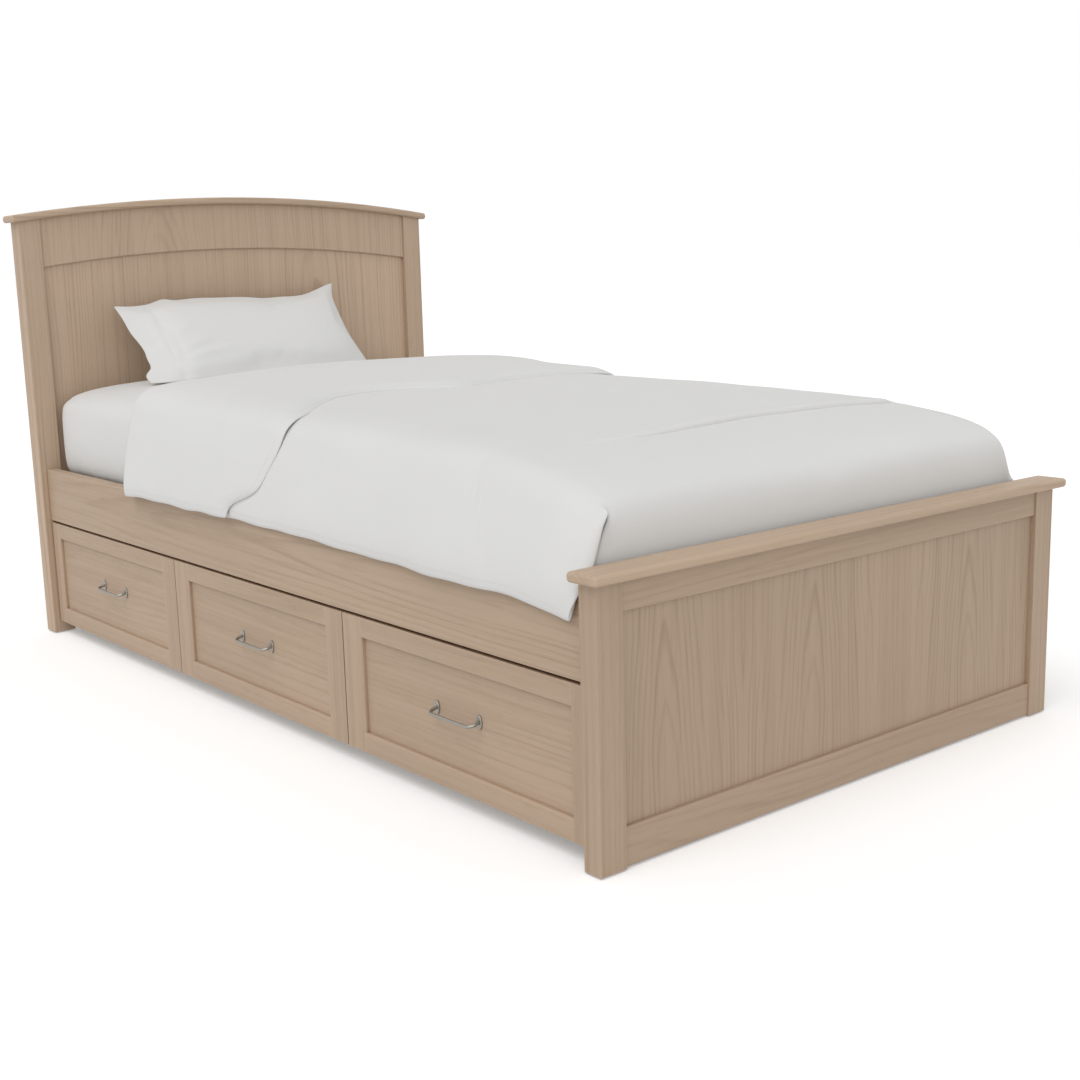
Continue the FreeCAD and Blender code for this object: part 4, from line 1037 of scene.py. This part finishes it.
PILLOW_WRINKLES = (  # from and to, across the bed and up the slope, then width and height
    ((-0.290, 0.060), (-0.160, 0.098), 0.0085, 0.0046), ((-0.288, 0.034), (-0.130, 0.056), 0.0090, 0.0052),
    ((-0.290, 0.100), (-0.200, 0.150), 0.0075, 0.0034), ((-0.350, 0.100), (-0.300, 0.086), 0.0060, 0.0050),
    ((-0.350, 0.150), (-0.302, 0.122), 0.0060, 0.0042), ((-0.352, 0.052), (-0.302, 0.050), 0.0060, 0.0050),
    ((0.225, 0.060), (0.130, 0.082), 0.0090, 0.0026), ((0.060, 0.020), (0.000, 0.060), 0.0110, 0.0026))
WRINKLE_RISE, WRINKLE_FALL = (-0.1, 0.4), (0.4, 1.1)  # along a wrinkle
WRINKLE_CLEAR = (0.002, 0.012)  # thickness of the case where wrinkles fade in
HEM_FLAT, HEM_EASE = 0.30, 0.034  # share of the thickness at the open end, and its reach past the seam
SEAM_DENT, SEAM_WIDTH = 0.27, 0.0060
SEAM_SEWN = 1.02  # place of the stitches, in widths of the hem band
PILLOW_REST_Y = 0.80  # place along the bed where the sheet's height is taken
SHEET_CLEAR, WALL_CLEAR = 0.0015, 0.001
REST_SOFTNESS, REST_SLUMP = 0.006, 0.8  # how gradually it flattens, and how much that pushes it back


def pillow_case(thickness):
    """The case as two layers joined round their edge, drawn to its outline and parted by the filling."""
    across, up = np.meshgrid(np.linspace(0, 1, PILLOW_CELLS[0] + 1), np.linspace(0, 1, PILLOW_CELLS[1] + 1))
    flat = np.stack([(across - 0.5) * PILLOW_FLAT[0], (up - 0.5) * PILLOW_FLAT[1]], 2).reshape(-1, 2)
    x = flow(up, PILLOW_LEFT_EDGE) * (1 - across) + flow(up, PILLOW_RIGHT_EDGE) * across
    y = flow(across, PILLOW_TOP_EDGE) * up + flow(across, PILLOW_LOW_EDGE) * (1 - up) ** 2
    full = thickness / 2 * (1 - np.abs(2 * across - 1) ** PILLOW_ENDS[0]) ** PILLOW_ENDS[1]
    front, back = (
        np.stack([x, y, flow(up, side) * full], 2).reshape(-1, 3) for side in (PILLOW_FRONT, PILLOW_BACK))
    top = np.arange(len(front)).reshape(up.shape)
    base = top.copy()
    inside = top[1:-1, 1:-1].ravel()
    base[1:-1, 1:-1] = len(front) + np.arange(len(inside)).reshape(base[1:-1, 1:-1].shape)
    faces = []
    for r, c in np.ndindex(PILLOW_CELLS[1], PILLOW_CELLS[0]):
        faces.append((top[r, c], top[r, c + 1], top[r + 1, c + 1], top[r + 1, c]))
        faces.append((base[r, c], base[r + 1, c], base[r + 1, c + 1], base[r, c + 1]))
    faces = [tuple(int(i) for i in face) for face in faces]
    return np.concatenate([front, back[inside]]), faces, np.concatenate([flat, flat[inside]]), top, base


def wrinkled(places, start, end, width, height):
    """Raise a soft wrinkle on the front of the case."""
    start, run = np.array(start), np.subtract(end, start)
    along = (places[:, :2] - start) @ run / (run @ run)
    away = np.linalg.norm(places[:, :2] - start - np.clip(along, 0, 1)[:, None] * run, axis=1)
    rise = height * np.exp(-(away / width) ** 2)
    rise = rise * ease(along, *WRINKLE_RISE) * (1 - ease(along, *WRINKLE_FALL))
    raised = places.copy()
    raised[:, 2] += rise * ease(places[:, 2], *WRINKLE_CLEAR)
    return raised


class BED_OT_pillow(Operator):
    """Make the pillow that leans on the headboard"""

    bl_idname = "bed.pillow"
    bl_label = "Make the pillow"

    def execute(self, context):
        look = context.scene.bed_bedding
        places, faces, uv, top, base = pillow_case(look.pillow_thickness - PILLOW_SWELL)
        made = mesh_object("leaning_pillow", places, faces, uv)
        fill_cushion(made, PILLOW_PRESSURE, PILLOW_SWELL, look.filling_frames, PILLOW_STIFFNESS)
        places = places_of(made.data)
        x = places[:, 0]
        seam = x.min() + look.hem_band
        places[:, 2] *= HEM_FLAT + (1 - HEM_FLAT) * ease(x, x.min(), seam + HEM_EASE)
        places[:, 2] *= 1 - SEAM_DENT * np.exp(-((x - seam) / SEAM_WIDTH) ** 2)
        for wrinkle in PILLOW_WRINKLES:
            places = wrinkled(places, *wrinkle)
        set_places(made, self.lean(places, look))
        case = cotton_material("pillow_cotton", look.cotton, look.weave, True)
        soft_finish(made, case, "pillow")
        sewn = look.hem_band * SEAM_SEWN - PILLOW_FLAT[0] / 2
        column = int(np.argmin(np.abs(uv[top[PILLOW_CELLS[1] // 2], 0] - sewn)))
        sew_hems("pillow_stitches", made, [list(top[:, column]), list(base[:, column])], look)
        return {"FINISHED"}

    def lean(self, places, look):
        """Stand the pillow against the headboard, flat only where it rests on the sheet and the panel."""
        turn = Matrix.Rotation(look.pillow_tilt, 3, "X")
        places = places @ np.array(turn).T + np.array((0.0, *PILLOW_FOOT))
        sheet = MATTRESS_TOP + mattress_rise(places[:, 0], PILLOW_REST_Y) + SHEET_CLEAR
        wall = PILLOW_HIGH.y - WALL_CLEAR
        places[:, 1] += REST_SLUMP * np.maximum(0, sheet - places[:, 2])
        places[:, 2] = sheet + REST_SOFTNESS * np.logaddexp(0, (places[:, 2] - sheet) / REST_SOFTNESS)
        places[:, 1] = wall - REST_SOFTNESS * np.logaddexp(0, (wall - places[:, 1]) / REST_SOFTNESS)
        return places


# ---------------------------------------------------------------- stitches

THREAD_RISE = 0.3  # how far the middle of a thread lies over the cloth, in its radius


def stitch_tree():
    """Stitches of thread, evenly spaced along a path and lying along it."""
    tree = bpy.data.node_groups.new("hem_stitches", "GeometryNodeTree")
    kinds = {"Path": "Geometry", "Stitch pitch": "Float", "Stitch length": "Float", "Thread radius": "Float",
             "Thread": "Material"}
    for name, kind in kinds.items():
        tree.interface.new_socket(name, in_out="INPUT", socket_type="NodeSocket" + kind)
    tree.interface.new_socket("Stitches", in_out="OUTPUT", socket_type="NodeSocketGeometry")
    given = add_node(tree, "NodeGroupInput").outputs
    path = add_node(tree, "GeometryNodeMeshToCurve", {"Mesh": given["Path"]}).outputs[0]
    spots = add_node(tree, "GeometryNodeCurveToPoints", {"Curve": path, "Length": given["Stitch pitch"]},
                     mode="LENGTH").outputs
    turned = add_node(tree, "FunctionNodeAlignRotationToVector", {"Vector": spots["Tangent"]}, axis="X")
    half = calc(tree, "MULTIPLY", given["Stitch length"], 0.5)
    radius = given["Thread radius"]
    size = add_node(tree, "ShaderNodeCombineXYZ", {0: half, 1: radius, 2: radius}).outputs[0]
    thread = add_node(tree, "GeometryNodeMeshIcoSphere", {"Radius": 1.0, "Subdivisions": 1}).outputs[0]
    laid = add_node(tree, "GeometryNodeInstanceOnPoints", {
        "Points": spots[0], "Instance": thread, "Rotation": turned.outputs[0], "Scale": size}).outputs[0]
    real = add_node(tree, "GeometryNodeRealizeInstances", {0: laid}).outputs[0]
    done = add_node(tree, "GeometryNodeSetMaterial", {"Geometry": real, "Material": given["Thread"]})
    add_node(tree, "NodeGroupOutput", {"Stitches": done.outputs[0]})
    return tree


def sew_hems(name, cloth, hems, look):
    """Sew a line of stitches along each chain of the cloth's own vertices."""
    skin = shown_mesh(cloth)
    places = places_of(skin) + normals_of(skin) * look.thread_radius * THREAD_RISE
    points, lines = [], []
    for hem in hems:
        lines += [(len(points) + i, len(points) + i + 1) for i in range(len(hem) - 1)]
        points += [places[i] for i in hem]
    made = mesh_object(name, points, [], edges=lines)
    tree = bpy.data.node_groups.get("hem_stitches") or stitch_tree()
    thread = bpy.data.materials.get("sewing_thread")
    thread = thread or cotton_material("sewing_thread", look.cotton, look.weave, False)
    values = {"Stitch pitch": look.stitch_pitch, "Stitch length": look.stitch_length,
              "Thread radius": look.thread_radius, "Thread": thread}
    sewing = made.modifiers.new("sewing", "NODES")
    sewing.node_group = tree
    for item in tree.interface.items_tree:
        if item.name in values:
            sewing[item.identifier] = values[item.name]
    sewn = bpy.data.meshes.new_from_object(made.evaluated_get(bpy.context.evaluated_depsgraph_get()))
    made.modifiers.remove(sewing)
    made.data = sewn
    if not sewn.polygons:
        raise RuntimeError(f"{name} has no stitches")
    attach(made, "bed_frame")


# ---------------------------------------------------------------- stage

WHITE, FLOOR_GREY, FLOOR_GLOW = (1.0, 1.0, 1.0, 1.0), (0.90, 0.90, 0.90, 1.0), 0.24
SUN_TOWARDS, FILL_TOWARDS = (0.62, 0.12, -1.0), (0.45, 0.80, -0.35)
FILL_SPREAD, LAMP_DISTANCE = 1.5, 4.0  # spread of the fill in spreads of the sun, and how far off both stand
SENSOR_WIDTH, CLIP_END = 36.0, 200.0


def white_for_eye(tree):
    """1 for a ray that shows the background, 0 for one that lights the object."""
    ray = add_node(tree, "ShaderNodeLightPath").outputs
    seen = calc(tree, "MAXIMUM", ray["Is Camera Ray"], ray["Is Glossy Ray"])
    return calc(tree, "MAXIMUM", seen, ray["Is Transmission Ray"])


class BED_OT_stage(Operator):
    """Set the floor, the light and the camera"""

    bl_idname = "bed.stage"
    bl_label = "Set the stage"

    def execute(self, context):
        look = context.scene.bed_stage
        self.floor(look)
        self.light(context, look)
        self.camera(context, look)
        context.scene.view_settings.view_transform = "Standard"
        return {"FINISHED"}

    def floor(self, look):
        """A wide pale floor, white where nothing shades it."""
        side = look.floor_size
        corners = [(-side, -side, 0), (side, -side, 0), (side, side, 0), (-side, side, 0)]
        floor = mesh_object("floor", corners, [(0, 1, 2, 3)])
        material, tree, shader = new_material("pale_floor")
        fill_sockets(tree, shader, {
            "Base Color": FLOOR_GREY, "Roughness": 0.9, "Specular IOR Level": 0.0, "Emission Color": WHITE,
            "Emission Strength": calc(tree, "MULTIPLY", white_for_eye(tree), FLOOR_GLOW)})
        floor.data.materials.append(material)

    def light(self, context, look):
        """An even sky, a soft sun and a softer fill."""
        world = bpy.data.worlds.new("soft_sky")
        world.use_nodes = True
        tree = world.node_tree
        tree.nodes.clear()
        lift = calc(tree, "MULTIPLY_ADD", white_for_eye(tree), 1.0 - look.sky_level, look.sky_level)
        sky = add_node(tree, "ShaderNodeBackground", {"Color": WHITE, "Strength": lift})
        add_node(tree, "ShaderNodeOutputWorld", {"Surface": sky.outputs[0]})
        context.scene.world = world
        self.lamp(context, "soft_sun", look.sun_level, look.sun_spread, SUN_TOWARDS)
        self.lamp(context, "soft_fill", look.fill_level, FILL_SPREAD * look.sun_spread, FILL_TOWARDS)

    def lamp(self, context, name, level, spread, towards):
        """One soft lamp that shines towards a direction."""
        light = bpy.data.lights.new(name, "SUN")
        light.energy = level
        light.angle = spread
        lamp = bpy.data.objects.new(name, light)
        lamp.rotation_euler = Vector(towards).to_track_quat("-Z", "Y").to_euler()
        lamp.location = -LAMP_DISTANCE * Vector(towards)
        context.scene.collection.objects.link(lamp)

    def camera(self, context, look):
        """The camera, turned by its yaw, pitch and roll."""
        view = bpy.data.cameras.new("view")
        view.sensor_fit = "HORIZONTAL"
        view.sensor_width = SENSOR_WIDTH
        view.lens = look.lens
        view.clip_end = CLIP_END
        eye = bpy.data.objects.new("view", view)
        yaw, pitch, roll = look.camera_yaw, look.camera_pitch, look.camera_roll
        ahead = Vector((math.sin(yaw) * math.cos(pitch), math.cos(yaw) * math.cos(pitch), -math.sin(pitch)))
        right = Vector((math.cos(yaw), -math.sin(yaw), 0.0))
        down = ahead.cross(right)
        across = math.cos(roll) * right + math.sin(roll) * down
        below = math.cos(roll) * down - math.sin(roll) * right
        turn = Matrix((across, -below, -ahead)).transposed()
        eye.matrix_world = Matrix.Translation(look.camera_place) @ turn.to_4x4()
        context.scene.collection.objects.link(eye)
        context.scene.camera = eye


# ---------------------------------------------------------------- add-on

SETTINGS = {"bed_wood": BedWoodSettings, "bed_metal": BedMetalSettings, "bed_bedding": BedBeddingSettings,
            "bed_stage": BedStageSettings}
OPERATORS = (BED_OT_wood, BED_OT_boards, BED_OT_fittings, BED_OT_mattress, BED_OT_duvet, BED_OT_pillow,
             BED_OT_stage)


class BED_PT_bed(Panel):
    """Steps that finish the bed, with their settings"""

    bl_idname = "BED_PT_bed"
    bl_label = "Storage bed"
    bl_space_type = "VIEW_3D"
    bl_region_type = "UI"
    bl_category = "Bed"

    def draw(self, context):
        for step in OPERATORS:
            self.layout.operator(step.bl_idname)
        for name, group in SETTINGS.items():
            box = self.layout.box()
            for key in group.__annotations__:
                box.prop(getattr(context.scene, name), key)


CLASSES = (*SETTINGS.values(), *OPERATORS, BED_PT_bed)


def register():
    for made in CLASSES:
        bpy.utils.register_class(made)
    for name, group in SETTINGS.items():
        setattr(bpy.types.Scene, name, PointerProperty(type=group))


def unregister():
    for name in SETTINGS:
        delattr(bpy.types.Scene, name)
    for made in reversed(CLASSES):
        bpy.utils.unregister_class(made)


def main():
    """Finish the bed step by step."""
    register()
    bpy.ops.bed.wood()
    bpy.ops.bed.boards()
    bpy.ops.bed.fittings()
    bpy.ops.bed.mattress()
    bpy.ops.bed.duvet()
    bpy.ops.bed.pillow()
    bpy.ops.bed.stage()


if __name__ == "__main__":
    main()
